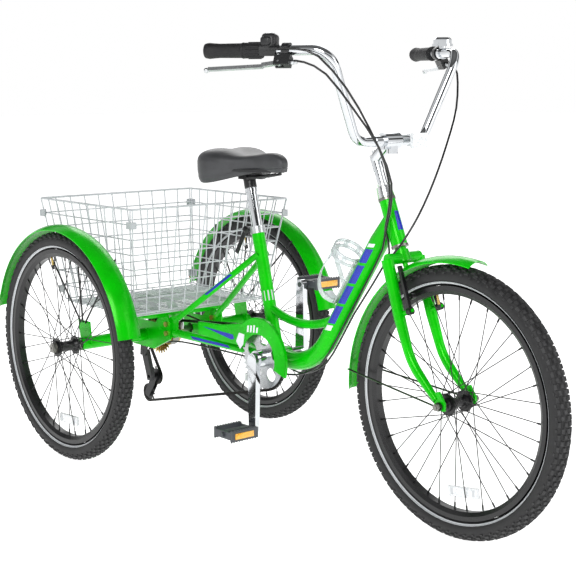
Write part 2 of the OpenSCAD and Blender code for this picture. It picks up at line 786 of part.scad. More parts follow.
module handlebar() {
    color(chrome) placed() difference() {
        union() {
            handlebar_solid(0, 0);
            rod(clamp_p + [0, -50, 0], clamp_p + [0, 50, 0], sleeve_d / 2, sleeve_d / 2);
        }
        handlebar_solid(1.6, 2);
    }
}

// A rubber grip from one place to another along the bar
module grip(from, to) {
    rotate([0, 90, 0]) translate([0, 0, from]) rotate_extrude() polygon([
        [bar_d / 2 + 0.05, 0], [17, 0], [17.5, 4], [16, 9], [15.5, to - from - 30], [17.5, to - from - 5],
        [16, to - from + 3], [0, to - from + 3], [0, to - from + 0.3], [bar_d / 2 + 0.05, to - from + 0.3]
    ]);
}

twist_from = 158;
twist_to = 198;
housing_from = 122;
right_pivot = [112, 0, -30];
left_pivot = [140, 0, -30];
lever_tilt = 28;

module grips() {
    color(black) placed() {
        on_grip() grip(twist_to + 0.6, grip_end);
        mirror([0, 1, 0]) on_grip() grip(168, grip_end);
    }
}

module shifter_twist() {
    color(black) placed() on_grip() rotate([0, 90, 0]) translate([0, 0, twist_from]) difference() {
        union() {
            cylinder(h = twist_to - twist_from, r = 17);
            for (a = [0:30:330]) rotate([0, 0, a]) translate([16.2, 0, 2]) cylinder(h = 30, r = 2.2, $fn = 16);
        }
        translate([0, 0, -1]) cylinder(h = 50, r = bar_d / 2 + running);
    }
}

// A brake lever's clamp and bracket around the bar, with its ears at the pivot p
module lever_bracket(p) {
    difference() {
        union() {
            translate([p[0] - 20, 0, 0]) rotate([0, 90, 0]) cylinder(h = 16, r = 16);
            translate([p[0] - 26, -10, p[2] - 8]) cube([36, 20, 24]);
        }
        translate([p[0] - 30, 0, 0]) rotate([0, 90, 0]) cylinder(h = 60, r = bar_d / 2 + 0.05);
        translate([p[0] - 12, -4.5, p[2] - 12]) cube([40, 9, 30]);
        translate([p[0], 0, p[2]]) rotate([90, 0, 0]) cylinder(h = 50, r = 2.6, center = true);
        translate([p[0] - 2, -12, -15.5]) cube([20, 24, 10]);
    }
}

module lever_brackets() {
    color(black) placed() {
        on_grip() rotate([lever_tilt, 0, 0]) lever_bracket(right_pivot);
        mirror([0, 1, 0]) on_grip() rotate([lever_tilt, 0, 0]) lever_bracket(left_pivot);
        on_grip() translate([housing_from, 0, 0]) rotate([0, 90, 0]) difference() {
            union() {
                cylinder(h = twist_from - housing_from - 0.5, r1 = 16, r2 = 20);
                translate([-31, -15, 4]) cube([31, 30, 26]);
                translate([-4, 20, -10]) cylinder(h = 20, r = 4);
            }
            translate([0, 0, -1]) cylinder(h = 50, r = bar_d / 2 + 0.05);
            translate([12, -30, -1]) cube([20, 60, 50]);
        }
    }
}

// A two-finger brake lever from its pivot at p to a ball end
module brake_lever(p) {
    reach = grip_end - 8 - p[0];
    translate(p) {
        rotate([90, 0, 0]) cylinder(h = 8, r = 7, center = true);
        rotate([90, 0, 0]) cylinder(h = 19, r = 2.5, center = true);
        rotate([0, 9, 0]) translate([0, -3.9, -4.5]) cube([40, 7.8, 9]);
        translate([36, -3.7, -13]) rotate([0, 3, 0]) cube([reach - 40, 7.4, 8]);
        translate([reach, 0, -18]) sphere(6, $fn = 32);
    }
}

module brake_lever_right() {
    color("silver") placed() on_grip() rotate([lever_tilt, 0, 0]) brake_lever(right_pivot);
}

module brake_lever_left() {
    color("silver") placed() mirror([0, 1, 0]) on_grip() rotate([lever_tilt, 0, 0]) brake_lever(left_pivot);
}

module bell() {
    at = 104;
    color(chrome) placed() mirror([0, 1, 0]) on_grip() translate([at, 0, 0]) {
        difference() {
            translate([-7, 0, 0]) rotate([0, 90, 0]) cylinder(h = 14, r = bar_d / 2 + 3);
            translate([-9, 0, 0]) rotate([0, 90, 0]) cylinder(h = 18, r = bar_d / 2 + 0.05);
        }
        translate([0, 0, bar_d / 2 + 1.5]) cylinder(h = 4, r = 8);
        translate([0, 0, bar_d / 2 + 5]) cylinder(h = 6, r = 25);
        translate([0, 0, bar_d / 2 + 11]) cylinder(h = 10, r = 22);
        translate([0, 0, bar_d / 2 + 21]) cylinder(h = 5, r1 = 22, r2 = 17);
    }
}

module front_reflector() {
    color("whitesmoke") placed() translate(clamp_p + [0, 66, 0]) {
        difference() {
            rotate([90, 0, 0]) cylinder(h = 12, r = bar_d / 2 + 3, center = true);
            rotate([90, 0, 0]) cylinder(h = 14, r = bar_d / 2 + 0.05, center = true);
        }
        translate([bar_d / 2 + 2, -5, -5]) cube([12, 10, 10]);
        translate([bar_d / 2 + 12, -24, -17]) cube([8, 48, 34]);
    }
}

// Seat

lever_pin = on_seat(seat_tube_l - 8) + [-seat_tube_r - 9, 0, 0.5];
lever_dir = [-0.5, 0, -sqrt(0.75)];
lever_axis = [-sqrt(0.75), 0, 0.5];
lug_y = 9;
cam_r = 8;

// The split band, and the skewer and nut that its lever draws together
module seat_clamp() {
    color("silver") placed() {
        difference() {
            union() {
                rod(on_seat(seat_tube_l - 16), on_seat(seat_tube_l + 2), seat_tube_r + 3.5, seat_tube_r + 3.5);
                translate(on_seat(seat_tube_l - 8) + [-seat_tube_r - 14, -lug_y, -6]) cube([14, 2 * lug_y, 13]);
            }
            rod(on_seat(seat_tube_l - 30), on_seat(seat_tube_l + 10), seat_tube_r + 0.05, seat_tube_r + 0.05);
            translate(lever_pin) rotate([90, 0, 0]) cylinder(h = 60, r = 3, center = true);
            translate(on_seat(seat_tube_l - 8) + [-seat_tube_r - 20, -1.5, -14]) cube([22, 3, 30]);
        }
        barrel(lever_pin[0], lever_pin[2], -lug_y, lug_y + 9, 2.85);
        barrel(lever_pin[0], lever_pin[2], lug_y + seat_fit, lug_y + 8, 6.5);
    }
}

// Cam and lever, with +X along the lever and +Z towards the clamp
module seat_clamp_lever() {
    color("gray") placed()
        place(lever_dir, lever_axis, [0, 1, 0], lever_pin - [0, lug_y + seat_fit + cam_r, 0]) {
            rotate([90, 0, 0]) cylinder(h = 12, r = cam_r, center = true);
            translate([0, -5, -5]) cube([72, 10, 5]);
        }
}

saddle_x = 372;
saddle_base_z = bracket_z + 464;

module seat_post() {
    top = on_seat(seat_tube_l + 100);
    color(chrome) placed() {
        difference() {
            union() {
                rod(on_seat(seat_tube_l - 160), top, post_d / 2, post_d / 2);
                rod(top - 9 * seat_dir, top, post_d / 2 + 2, post_d / 2 + 2);
                rod(top - seat_dir, top + 26 * seat_dir, 11, 11);
            }
            rod(on_seat(seat_tube_l - 170), top - 20 * seat_dir, post_d / 2 - 2, post_d / 2 - 2);
        }
    }
}

rail_y = 18;

// The saddle's two wire rails and the clamp that holds them on the post
module saddle_rails() {
    z = saddle_base_z - 14;
    color(black) placed() {
        both_sides() pipe([
            [saddle_x - 88, rail_y + 16, saddle_base_z - 4.2], [saddle_x - 62, rail_y, z],
            [saddle_x + 50, rail_y, z], [saddle_x + 112, rail_y - 10, saddle_base_z - 4.2]
        ], [3.5, 3.5, 3.5, 3.5], [0, 20, 30, 0], $fn = 24);
        difference() {
            union() {
                translate([saddle_x - 16, -26, z - 8]) cube([32, 52, 15]);
                rod(on_seat(seat_tube_l + 102), on_seat(seat_tube_l + 126), 16, 16);
            }
            rod(on_seat(seat_tube_l + 90), on_seat(seat_tube_l + 126.1), 11.05, 11.05);
            both_sides() translate([saddle_x - 40, rail_y, z]) rotate([0, 90, 0]) cylinder(h = 80, r = 3.55);
        }
    }
}

module saddle_base() {
    color(black) placed() translate([0, 0, saddle_base_z]) hull() {
        for (y = [-80, 80]) translate([saddle_x - 82, y, 0]) cylinder(h = 6, r = 20, $fn = 32);
        for (y = [-34, 34]) translate([saddle_x + 5, y, 0]) cylinder(h = 6, r = 18, $fn = 32);
        translate([saddle_x + 114, 0, 0]) cylinder(h = 6, r = 14, $fn = 32);
    }
}

module saddle_cover() {
    z = saddle_base_z + 26;
    color("#303234") placed() intersection() {
        hull() {
            for (y = [-78, 78]) translate([saddle_x - 80, y, z]) sphere(32, $fn = 32);
            for (y = [-30, 30]) translate([saddle_x + 5, y, z]) sphere(28, $fn = 32);
            translate([saddle_x + 116, 0, z - 2]) sphere(21, $fn = 32);
        }
        translate([saddle_x - 140, -150, saddle_base_z + 6.3]) cube([320, 300, 100]);
    }
}

// Drive

// A toothed disc, with its teeth's roots clear of the chain's rollers
module sprocket(teeth, t) {
    r = pitch_r(teeth);
    root = r - 4.1;
    tip = r + 3;
    linear_extrude(t, center = true) polygon([
        for (i = [0:teeth - 1], p = [[-0.3, root], [-0.13, tip], [0.13, tip], [0.3, root]])
            [p[1] * cos((i + p[0]) * 360 / teeth), p[1] * sin((i + p[0]) * 360 / teeth)]
    ]);
}

module at_bracket(y) {
    on_axle(bracket[0], y, bracket[2]) children();
}

module chainring() {
    color("silver") placed() at_bracket(-chain_y) difference() {
        sprocket(ring_teeth, 2);
        cylinder(h = 10, r = 22.2, center = true);
        for (a = [0:72:288]) rotate([0, 0, a + 18]) translate([48, 0, 0]) cylinder(h = 10, r = 17, center = true);
    }
}

module cranks() {
    arm_y = 72;
    color("silver") placed() {
        difference() {
            barrel(bracket[0], bracket[2], -58, 58, 8.5);
            both_sides() barrel(bracket[0], bracket[2], 50, 60, 3);
        }
        difference() {
            union() {
                crank_arm(-1, -1);
                at_bracket(-chain_y + 1.2) difference() {
                    cylinder(h = arm_y - chain_y + 2, r = 22);
                    translate([0, 0, -1]) cylinder(h = 40, r = 8);
                }
            }
            barrel(bracket[0], bracket[2], -59, -38, 8.55);
        }
        difference() {
            crank_arm(1, 1);
            barrel(bracket[0], bracket[2], 38, 59, 8.55);
        }
    }
}

// One crank arm on the given side, pointing up or down
module crank_arm(side, way) {
    difference() {
        union() {
            hull() {
                on_axle(bracket[0], side * 79 + 7, bracket[2]) cylinder(h = 14, r = 17, $fn = 32);
                on_axle(bracket[0], side * 79 + 7, bracket[2] + way * crank_l) cylinder(h = 14, r = 13, $fn = 32);
            }
            if (side > 0) barrel(bracket[0], bracket[2], 42, 74, 15);
        }
        barrel(bracket[0], bracket[2] + way * crank_l, side * 60, side * 100, 6.6);
    }
}

// A platform pedal, built on the rider's left about its own spindle along y
module pedal() {
    plate_half = 33;
    gap_y = 90;
    difference() {
        union() {
            barrel(0, 0, 71, gap_y + pedal_w + 6, 6.5);
            for (x = [-1, 1]) translate([x * plate_half, gap_y, 0]) {
                translate([-4, 6, -13]) cube([8, pedal_w - 6, 26]);
            }
            for (y = [gap_y + 6, gap_y + pedal_w - 6])
                translate([-plate_half, y, -9]) cube([2 * plate_half, 6, 18]);
            translate([-8, gap_y + 6, -9]) cube([16, pedal_w - 6, 18]);
        }
    }
}

module pedal_right() {
    color(black) placed() translate([bracket[0], 0, bracket[2] - crank_l]) mirror([0, 1, 0]) pedal();
}

module pedal_left() {
    color(black) placed() translate([bracket[0], 0, bracket[2] + crank_l]) pedal();
}

cog_teeth = [14, 16, 18, 20, 22, 24, 28];
cog_step = 5;
upper_jockey = [7, 0, wheel_r - 120];
lower_jockey = [-30, 0, wheel_r - 176];

module freewheel() {
    color("#6b5a3a") placed() difference() {
        union() {
            barrel(0, wheel_r, -chain_y - 17, -chain_y + 19, 22);
            for (i = [0:6]) on_axle(0, -chain_y + (i - 3) * cog_step, wheel_r) sprocket(cog_teeth[i], 1.9);
        }
        barrel(0, wheel_r, -chain_y - 20, -chain_y + 21, axle_d / 2 + running);
    }
}

module jockey(p) {
    difference() {
        on_axle(p[0], -chain_y, p[2]) sprocket(11, 2);
        barrel(p[0], p[2], -chain_y - 5, -chain_y + 5, 3 + running);
    }
}

module jockey_upper() { color(black) placed() jockey(upper_jockey); }
module jockey_lower() { color(black) placed() jockey(lower_jockey); }

module derailleur_cage() {
    u = upper_jockey;
    l = lower_jockey;
    color(black) placed() {
        for (y = [-chain_y - 6, -chain_y + 6]) difference() {
            plate(y, 1.8) union() {
                polygon([
                    [u[0] - 11, u[2] + 4], [u[0] + 11, u[2] - 4], [l[0] + 11, l[2] - 4], [l[0] - 11, l[2] + 4]
                ]);
                translate([u[0], u[2]]) circle(11.2);
                translate([l[0], l[2]]) circle(11.2);
            }
        }
        for (p = [u, l]) barrel(p[0], p[2], -chain_y - 6, -chain_y + 6, 3);
        barrel(u[0], u[2], -chain_y - 19, -chain_y - 6.5, 5);
    }
}

module derailleur_body() {
    u = upper_jockey;
    top = [-16, 0, wheel_r - 52];
    y = -plate_y + plate_t / 2 + 3;
    color(black) placed() {
        plate(y - 0.5, 4) difference() {
            polygon([
                [-14, wheel_r + 14], [14, wheel_r + 14], [14, wheel_r - 14], [-4, wheel_r - 62],
                [-28, wheel_r - 62], [-26, wheel_r - 42]
            ]);
            translate([0, wheel_r]) circle(axle_d / 2 + 2);
        }
        plate(y + 7.6, 12) difference() {
            polygon([
                [top[0] - 14, top[2] + 4], [top[0] + 12, top[2] + 6], [u[0] + 12, u[2] + 6],
                [u[0] + 9, u[2] - 11], [u[0] - 9, u[2] - 11], [u[0] - 13, u[2] + 6]
            ]);
            translate([u[0], u[2]]) circle(5 + running);
        }
        barrel(top[0], top[2], y - 3, y + 3, 7);
    }
}

// Chain

function tangent(c1, r1, s1, c2, r2, s2) =
    // where a belt leaves the first wheel and meets the second, each turning as its sign says
    let (d = c2 - c1, l = norm(d), k = (s1 * r1 - s2 * r2) / l, a = atan2(d[1], d[0]) - acos(k),
        n = [cos(a), sin(a)])
    [c1 + s1 * r1 * n, c2 + s2 * r2 * n];

function arc_points(c, r, from, to, steps) = [
    for (i = [0:steps]) c + r * [cos(from + (to - from) * i / steps), sin(from + (to - from) * i / steps)]
];

chain_wheels = [
    [[bracket[0], bracket[2]], pitch_r(ring_teeth), 1], [[0, wheel_r], pitch_r(20), 1],
    [[upper_jockey[0], upper_jockey[2]], pitch_r(11), -1],
    [[lower_jockey[0], lower_jockey[2]], pitch_r(11), 1]
];

function chain_leg(i) =
    let (a = chain_wheels[i], b = chain_wheels[(i + 1) % 4]) tangent(a[0], a[1], a[2], b[0], b[1], b[2]);

function angle_on(c, p) = atan2(p[1] - c[1], p[0] - c[0]);

// The chain's path, offset outwards by grow, wheel by wheel
function chain_path(grow) = [
    for (i = [0:3]) let (
        w = chain_wheels[i], arrive = angle_on(w[0], chain_leg((i + 3) % 4)[1]),
        leave = angle_on(w[0], chain_leg(i)[0]), turn_by = w[2] > 0
            ? (leave - arrive + 720) % 360 : -((arrive - leave + 720) % 360))
    each arc_points(w[0], w[1] + w[2] * grow, arrive, arrive + turn_by, 14)
];

module chain() {
    half = 3.4;
    color(black) placed() {
        for (y = [-chain_y - 2.4, -chain_y + 2.4]) plate(y, 1.2) difference() {
            polygon(chain_path(half));
            polygon(chain_path(-half));
        }
        for (leg = [0, 3], s = [0.2, 0.5, 0.8]) {
            p = chain_leg(leg)[0] + s * (chain_leg(leg)[1] - chain_leg(leg)[0]);
            barrel(p[0], p[1], -chain_y - 3.4, -chain_y + 3.4, 1.8);
        }
    }
}

// Bottle cage

cage_along = 255;
cage_out = main_d / 2 + 43.3;
bottle_r = 37;

module bottle_cage() {
    low = on_main(cage_along - 70, cage_out);
    high = on_main(cage_along + 70, cage_out);
    color("white", 0.6) placed() {
        difference() {
            union() {
                rod(low, low + 28 * main_dir, bottle_r + 3, bottle_r + 3);
                rod(high - 24 * main_dir, high, bottle_r + 3, bottle_r + 3);
            }
            rod(low + 3 * main_dir, high + 5 * main_dir, bottle_r, bottle_r);
        }
        along(low, high) {
            translate([bottle_r + 1.2, -7, 2]) cube([cage_out - main_d / 2 - bottle_r - 1.2 - seat_fit, 14, 136]);
            translate([-bottle_r - 5, -7, 2]) cube([3.8, 14, 136]);
        }
    }
}

// Cables, each a round sweep along points

function smooth(points, n) = [
    for (i = [0:len(points) - 2], s = [0:n - 1])
        let (last = len(points) - 1, u = s / n, a = points[max(0, i - 1)], b = points[i],
            c = points[i + 1], d = points[min(last, i + 2)])
        0.5 * (2 * b + (c - a) * u + (2 * a - 5 * b + 4 * c - d) * u * u + (3 * b - a - 3 * c + d) * u * u * u),
    points[len(points) - 1]
];

module cable(points, r, n) {
    sides = 8;
    path = smooth(points, n);
    last = len(path) - 1;
    rings = [
        for (i = [0:last])
            let (z = unit(path[min(last, i + 1)] - path[max(0, i - 1)]),
                side = abs(z[1]) < 0.8 ? [0, 1, 0] : [0, 0, 1], x = unit(cross(side, z)), y = cross(z, x))
            for (k = [0:sides - 1])
                path[i] + r * (cos(k * 360 / sides) * x + sin(k * 360 / sides) * y)
    ];
    polyhedron(rings, concat(
        [[for (k = [0:sides - 1]) k]], [[for (k = [sides - 1:-1:0]) last * sides + k]],
        [for (i = [0:last - 1], k = [0:sides - 1]) let (j = (k + 1) % sides)
            [i * sides + j, i * sides + k, (i + 1) * sides + k, (i + 1) * sides + j]]
    ));
}

shift_route = [
    [802, -267, 1070], [839, -249, 1068], [880, -222, 1052], [922, -180, 985], [942, -130, 900],
    [940, -80, 820], [920, -44, 745], [893, -30, 680], [866, -12, 624], [810, -8, 540],
    [754, -8, 457], [704, -8, 382], [656, -9, 321], [598, -12, 288], [540, -18, 276],
    [482, -22, 284], [420, -24, 295], [340, -34, 300], [240, -50, 304], [150, -60, 304],
    [90, -66, 296], [40, -69, 280], [2, -66, 263]
];
rear_brake_route = [
    [822, -249, 1043], [850, -236, 1040], [893, -212, 1015], [930, -165, 940], [950, -110, 860],
    [944, -64, 780], [918, -42, 710], [898, -34, 668], [880, -4, 616], [816, 8, 536],
    [754, 8, 457], [704, 8, 382], [656, 9, 321], [598, 12, 288], [540, 18, 276],
    [482, 22, 284], [420, 24, 295], [340, 34, 300], [240, 44, 303], [180, 34, 328],
    [120, 20, 350], [68, 8, 361]
];
front_brake_route = [
    [797, 261, 1043], [825, 247, 1040], [868, 224, 1018], [915, 172, 940], [950, 104, 860],
    [972, 40, 780], [980, -14, 710], [966, -46, 655], [946, -56, 625]
];

module frame_cables() {
    color(black) placed() {
        cable(shift_route, 2.4, 2);
        cable(rear_brake_route, 2.4, 2);
    }
}

module front_brake_cable() { color(black) placed() cable(front_brake_route, 2.4, 3); }

main_frame();
rear_carrier();
basket_floor();
basket_side_panels();
basket_end_panels();
rear_fenders();
rear_fender_stays();
rear_reflectors();
chain_guard();
brake_band();
frame_bearings();
bottle_cage();
seat_clamp();
frame_fasteners();
frame_cables();
chain();
derailleur_body();
seat_clamp_lever();
seat_post();
saddle_cover();
saddle_base();
saddle_rails();
rear_axle();
brake_drum();
freewheel();
rear_left_tyre();
rear_left_rim();
rear_left_hub();
rear_left_spokes();
rear_right_tyre();
rear_right_rim();
rear_right_hub();
rear_right_spokes();
fork();
front_fender();
stem();
handlebar();
grips();
lever_brackets();
front_brake_cable();
front_reflector();
bell();
front_axle();
shifter_twist();
brake_lever_right();
brake_lever_left();
v_brake_arm_right();
v_brake_arm_left();
front_tyre();
front_rim();
front_hub();
front_spokes();
cranks();
chainring();
pedal_right();
pedal_left();
derailleur_cage();
jockey_upper();
jockey_lower();
rear_brake_arm();
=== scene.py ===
import math

import bmesh
import bpy
from mathutils import Matrix, Vector, noise


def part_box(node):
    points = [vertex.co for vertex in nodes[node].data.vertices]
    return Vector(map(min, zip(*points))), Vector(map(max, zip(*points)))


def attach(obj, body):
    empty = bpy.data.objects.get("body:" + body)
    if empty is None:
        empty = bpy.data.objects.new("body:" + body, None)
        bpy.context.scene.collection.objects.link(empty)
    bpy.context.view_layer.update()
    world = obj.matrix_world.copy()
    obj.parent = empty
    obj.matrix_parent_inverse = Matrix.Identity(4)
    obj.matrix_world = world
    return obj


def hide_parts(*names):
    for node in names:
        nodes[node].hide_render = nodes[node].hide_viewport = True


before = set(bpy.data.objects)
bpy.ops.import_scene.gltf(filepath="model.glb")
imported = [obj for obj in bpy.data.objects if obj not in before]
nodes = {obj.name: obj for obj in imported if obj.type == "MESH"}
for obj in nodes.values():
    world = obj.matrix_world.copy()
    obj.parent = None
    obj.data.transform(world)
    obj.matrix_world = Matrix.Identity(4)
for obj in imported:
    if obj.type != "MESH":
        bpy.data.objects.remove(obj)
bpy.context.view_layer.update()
mm = 0.001
scene = bpy.context.scene

# the camera looks at the tricycle from its front right, at chest height
cameraSpec = {
    "place": (2.4187, -2.0724, 1.0020),
    "target": (-0.0098, 0.0, 0.4904),
    "lens": 81.0,
    "sensor": 36.0,
}
camera = bpy.data.objects.new("studioCamera", bpy.data.cameras.new("studioCamera"))
camera.data.lens = cameraSpec["lens"]
camera.data.sensor_width = cameraSpec["sensor"]
camera.location = cameraSpec["place"]
look = Vector(cameraSpec["target"]) - Vector(cameraSpec["place"])
camera.rotation_mode = "QUATERNION"
camera.rotation_quaternion = look.to_track_quat("-Z", "Y")
scene.collection.objects.link(camera)
scene.camera = camera
print("camera placed")


def boxMiddle(name):
    low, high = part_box(name)
    return (low + high) / 2


frontHub = boxMiddle("front_rim")
leftHub = boxMiddle("rear_left_rim")
rightHub = boxMiddle("rear_right_rim")
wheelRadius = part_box("front_tyre")[1].z - frontHub.z
rearX = leftHub.x


def colour(code):
    # an sRGB hex value as linear red, green, blue and alpha
    parts = [int(code[i:i + 2], 16) / 255 for i in (1, 3, 5)]
    return [c / 12.92 if c <= 0.04045 else ((c + 0.055) / 1.055) ** 2.4 for c in parts] + [1.0]


def add(tree, kind, values=None, links=None, **attributes):
    # adds one node with its attributes, its input values and the sockets that feed its other inputs
    node = tree.nodes.new(kind)
    for key, value in attributes.items():
        setattr(node, key, value)
    for key, value in (values or {}).items():
        node.inputs[key].default_value = value
    for key, socket in (links or {}).items():
        tree.links.new(socket, node.inputs[key])
    return node


def startMaterial(name):
    material = bpy.data.materials.new(name)
    material.use_nodes = True
    tree = material.node_tree
    return material, tree, tree.nodes["Principled BSDF"], add(tree, "ShaderNodeTexCoord").outputs["Object"]


def makeFinish(name, spec):
    # a finish whose tone, gloss and relief follow patterns of real sizes:
    #   patterns: (size in mm, detail, roughness) for soft noise, or (size in mm, smoothness) for cells
    #   tones: two colours, the pattern that blends them, and the part of its range that does, if not all
    #   gloss: lowest and highest roughness and the pattern between them
    #   relief: (pattern, depth in mm, strength), each laid over the one before
    #   shader: values that are the same all over
    material, tree, shader, where = startMaterial(name)
    fields = {}
    for word, pattern in spec["patterns"].items():
        scale = {"Scale": 1 / (pattern[0] * mm)}
        if len(pattern) == 3:
            values = {**scale, "Detail": pattern[1], "Roughness": pattern[2]}
            fields[word] = add(tree, "ShaderNodeTexNoise", values, {"Vector": where}).outputs["Fac"]
        elif pattern[1]:
            values = {**scale, "Smoothness": pattern[1]}
            cells = add(tree, "ShaderNodeTexVoronoi", values, {"Vector": where}, feature="SMOOTH_F1")
            fields[word] = cells.outputs["Distance"]
        else:
            fields[word] = add(tree, "ShaderNodeTexVoronoi", scale, {"Vector": where}).outputs["Distance"]
    first, second, word, span = spec["tones"]
    blend = fields[word]
    if span:
        values = {"From Min": span[0], "From Max": span[1], "To Min": 0, "To Max": 1}
        blend = add(tree, "ShaderNodeMapRange", values, {"Value": blend}).outputs["Result"]
    tone = add(tree, "ShaderNodeMix", {6: first, 7: second}, {0: blend}, data_type="RGBA")
    tree.links.new(tone.outputs[2], shader.inputs["Base Color"])
    if "gloss" in spec:
        low, high, word = spec["gloss"]
        values = {"From Min": softSpan[0], "From Max": softSpan[1], "To Min": low, "To Max": high}
        gloss = add(tree, "ShaderNodeMapRange", values, {"Value": fields[word]})
        tree.links.new(gloss.outputs["Result"], shader.inputs["Roughness"])
    below = {}
    for word, depth, strength in spec.get("relief", []):
        values = {"Distance": depth * mm, "Strength": strength}
        bump = add(tree, "ShaderNodeBump", values, {"Height": fields[word], **below})
        below = {"Normal": bump.outputs["Normal"]}
    if below:
        tree.links.new(below["Normal"], shader.inputs["Normal"])
    for key, value in spec["shader"].items():
        shader.inputs[key].default_value = value
    return material


softSpan = (0.3, 0.7)  # the part of a soft noise's range that most of its values fall in


def dimmed(code, share):
    return [c * share for c in colour(code)[:3]] + [1.0]


def platedMetal(name, main, rough, cloud=40):
    # plated or polished metal: mirror-like, with a fine haze that changes from place to place
    return makeFinish(name, {
        "patterns": {"haze": (cloud, 5, 0.5), "fine": (1.2, 2, 0.5)},
        "tones": (colour(main), dimmed(main, 0.86), "haze", softSpan),
        "gloss": (rough * 0.8, rough * 1.5, "haze"),
        "relief": [("fine", 0.02, 0.2)],
        "shader": {"Metallic": 1.0},
    })


def castMetal(name, main, rough):
    # tumbled cast metal: satin and softly uneven, with a grain that breaks its shine
    return makeFinish(name, {
        "patterns": {"grain": (1.8, 4, 0.6), "cloud": (25, 3, 0.5)},
        "tones": (colour(main), dimmed(main, 0.8), "cloud", softSpan),
        "gloss": (rough * 0.75, rough * 1.25, "grain"),
        "relief": [("grain", 0.06, 0.4)],
        "shader": {"Metallic": 1.0},
    })


def mouldedPlastic(name, main, shade, rough, grain=0.9, depth=0.06):
    # injection-moulded plastic or powder coat: a fine even grain that breaks the gloss
    return makeFinish(name, {
        "patterns": {"grain": (grain, 3, 0.6), "cloud": (35, 3, 0.5)},
        "tones": (colour(main), colour(shade), "cloud", softSpan),
        "gloss": (rough - 0.07, rough + 0.07, "grain"),
        "relief": [("grain", depth, 0.5)],
        "shader": {"IOR": 1.49},
    })


def treadRubber(name, main, dusty):
    # vulcanised rubber: near black, matt, a little dusty in its hollows, with a mould's fine pits
    return makeFinish(name, {
        "patterns": {"cloud": (18, 5, 0.65), "pits": (1.6, 0)},
        "tones": (colour(main), colour(dusty), "cloud", (0.35, 0.75)),
        "gloss": (0.5, 0.72, "cloud"),
        "relief": [("pits", 0.12, 0.35)],
        "shader": {"IOR": 1.52, "Specular IOR Level": 0.4},
    })


def reflectorPlastic(name, main):
    # clear acrylic moulded over tiny corner cubes, with a painted reflection: each cube's cell is painted
    # lighter towards its middle, a bright honeycomb
    # painted reflection: this lighter tone stands in for the light that the corner cubes send back
    light = [min(1.0, c * 2.6 + 0.02) for c in colour(main)[:3]] + [1.0]
    return makeFinish(name, {
        "patterns": {"cubes": (2.6, 0)},
        "tones": (light, colour(main), "cubes", None),
        "relief": [("cubes", 0.5, 0.5)],
        "shader": {"Roughness": 0.12, "Coat Weight": 1.0, "IOR": 1.49},
    })


# sprayed enamel over steel: wet gloss whose highlights keep the colour, over a cloudy tone
greenEnamel = makeFinish("greenEnamel", {
    "patterns": {"cloud": (90, 4, 0.5), "peel": (2.4, 2, 0.5), "haze": (30, 3, 0.5)},
    "tones": (colour("#04C606"), colour("#02A604"), "cloud", softSpan),
    "gloss": (0.2, 0.3, "haze"),
    "relief": [("peel", 0.05, 0.35)],  # true orange peel is about 1 mm, drawn coarser so that it shows
    "shader": {"IOR": 1.5, "Specular IOR Level": 0.6, "Specular Tint": colour("#8CFF6A"),
               "Coat Weight": 0.08, "Coat Roughness": 0.04},
})
chromePlate = platedMetal("chromePlate", "#D2D5D8", 0.05)
castAluminium = castMetal("castAluminium", "#CDD0D2", 0.3)
machinedSteel = castMetal("machinedSteel", "#8C8B86", 0.34)
zincYellow = platedMetal("zincYellow", "#C7AE6A", 0.26, 12)
blackPowder = mouldedPlastic("blackPowder", "#0B0B0C", "#151517", 0.3, 0.7)
blackPlastic = mouldedPlastic("blackPlastic", "#101113", "#1A1B1D", 0.42)
gripRubber = treadRubber("gripRubber", "#0D0D0E", "#17171A")
tyreRubber = treadRubber("tyreRubber", "#141415", "#29292A")
# the blocks' rubber is the tyre's rubber painted lighter: a painted highlight on the knob tops
blockRubberPaintedHighlight = treadRubber("blockRubberPaintedHighlight", "#1F1F20", "#3C3C3D")
blackSpoke = mouldedPlastic("blackSpoke", "#050505", "#0A0A0B", 0.45, 0.7)
whiteWire = mouldedPlastic("whiteWire", "#C6CACD", "#B9BEC1", 0.34, 1.2)
sleevePlastic = mouldedPlastic("sleevePlastic", "#0C0C0D", "#141415", 0.3, 1.1)
# thin milky polycarbonate: lets light through and scatters it
clearCage = makeFinish("clearCage", {
    "patterns": {"cloud": (20, 3, 0.5)},
    "tones": (colour("#DCE6E8"), colour("#F4F8F8"), "cloud", None),
    "gloss": (0.16, 0.3, "cloud"),
    "shader": {"Transmission Weight": 0.55, "IOR": 1.46},
})
redPrism = reflectorPlastic("redPrism", "#5A0B10")
amberPrism = reflectorPlastic("amberPrism", "#D9820E")
whitePrism = reflectorPlastic("whitePrism", "#BFC6CA")
blueFilm = mouldedPlastic("blueFilm", "#1A2FB4", "#1626A0", 0.24, 2.0, 0.02)
whiteFilm = mouldedPlastic("whiteFilm", "#E8ECEE", "#DDE3E6", 0.26, 2.0, 0.02)
silverFilm = mouldedPlastic("silverFilm", "#B9BDC0", "#C8CBCE", 0.28, 1.4, 0.04)
oiledChain = castMetal("oiledChain", "#2B2A28", 0.36)
pedalNylon = mouldedPlastic("pedalNylon", "#3B3E43", "#46494E", 0.4)
# soft PVC skin over foam: a leathery pebble, satin, a little shinier where a rider sits
saddleSkin = makeFinish("saddleSkin", {
    "patterns": {"pebble": (2.6, 0.6), "crease": (1.3, 4, 0.6), "cloud": (45, 3, 0.5)},
    "tones": (colour("#2B2C2E"), colour("#3A3B3E"), "cloud", softSpan),
    "gloss": (0.36, 0.5, "cloud"),
    "relief": [("pebble", 0.25, 0.5), ("crease", 0.08, 0.4)],
    "shader": {"IOR": 1.5, "Sheen Weight": 0.15},
})
print("materials made")


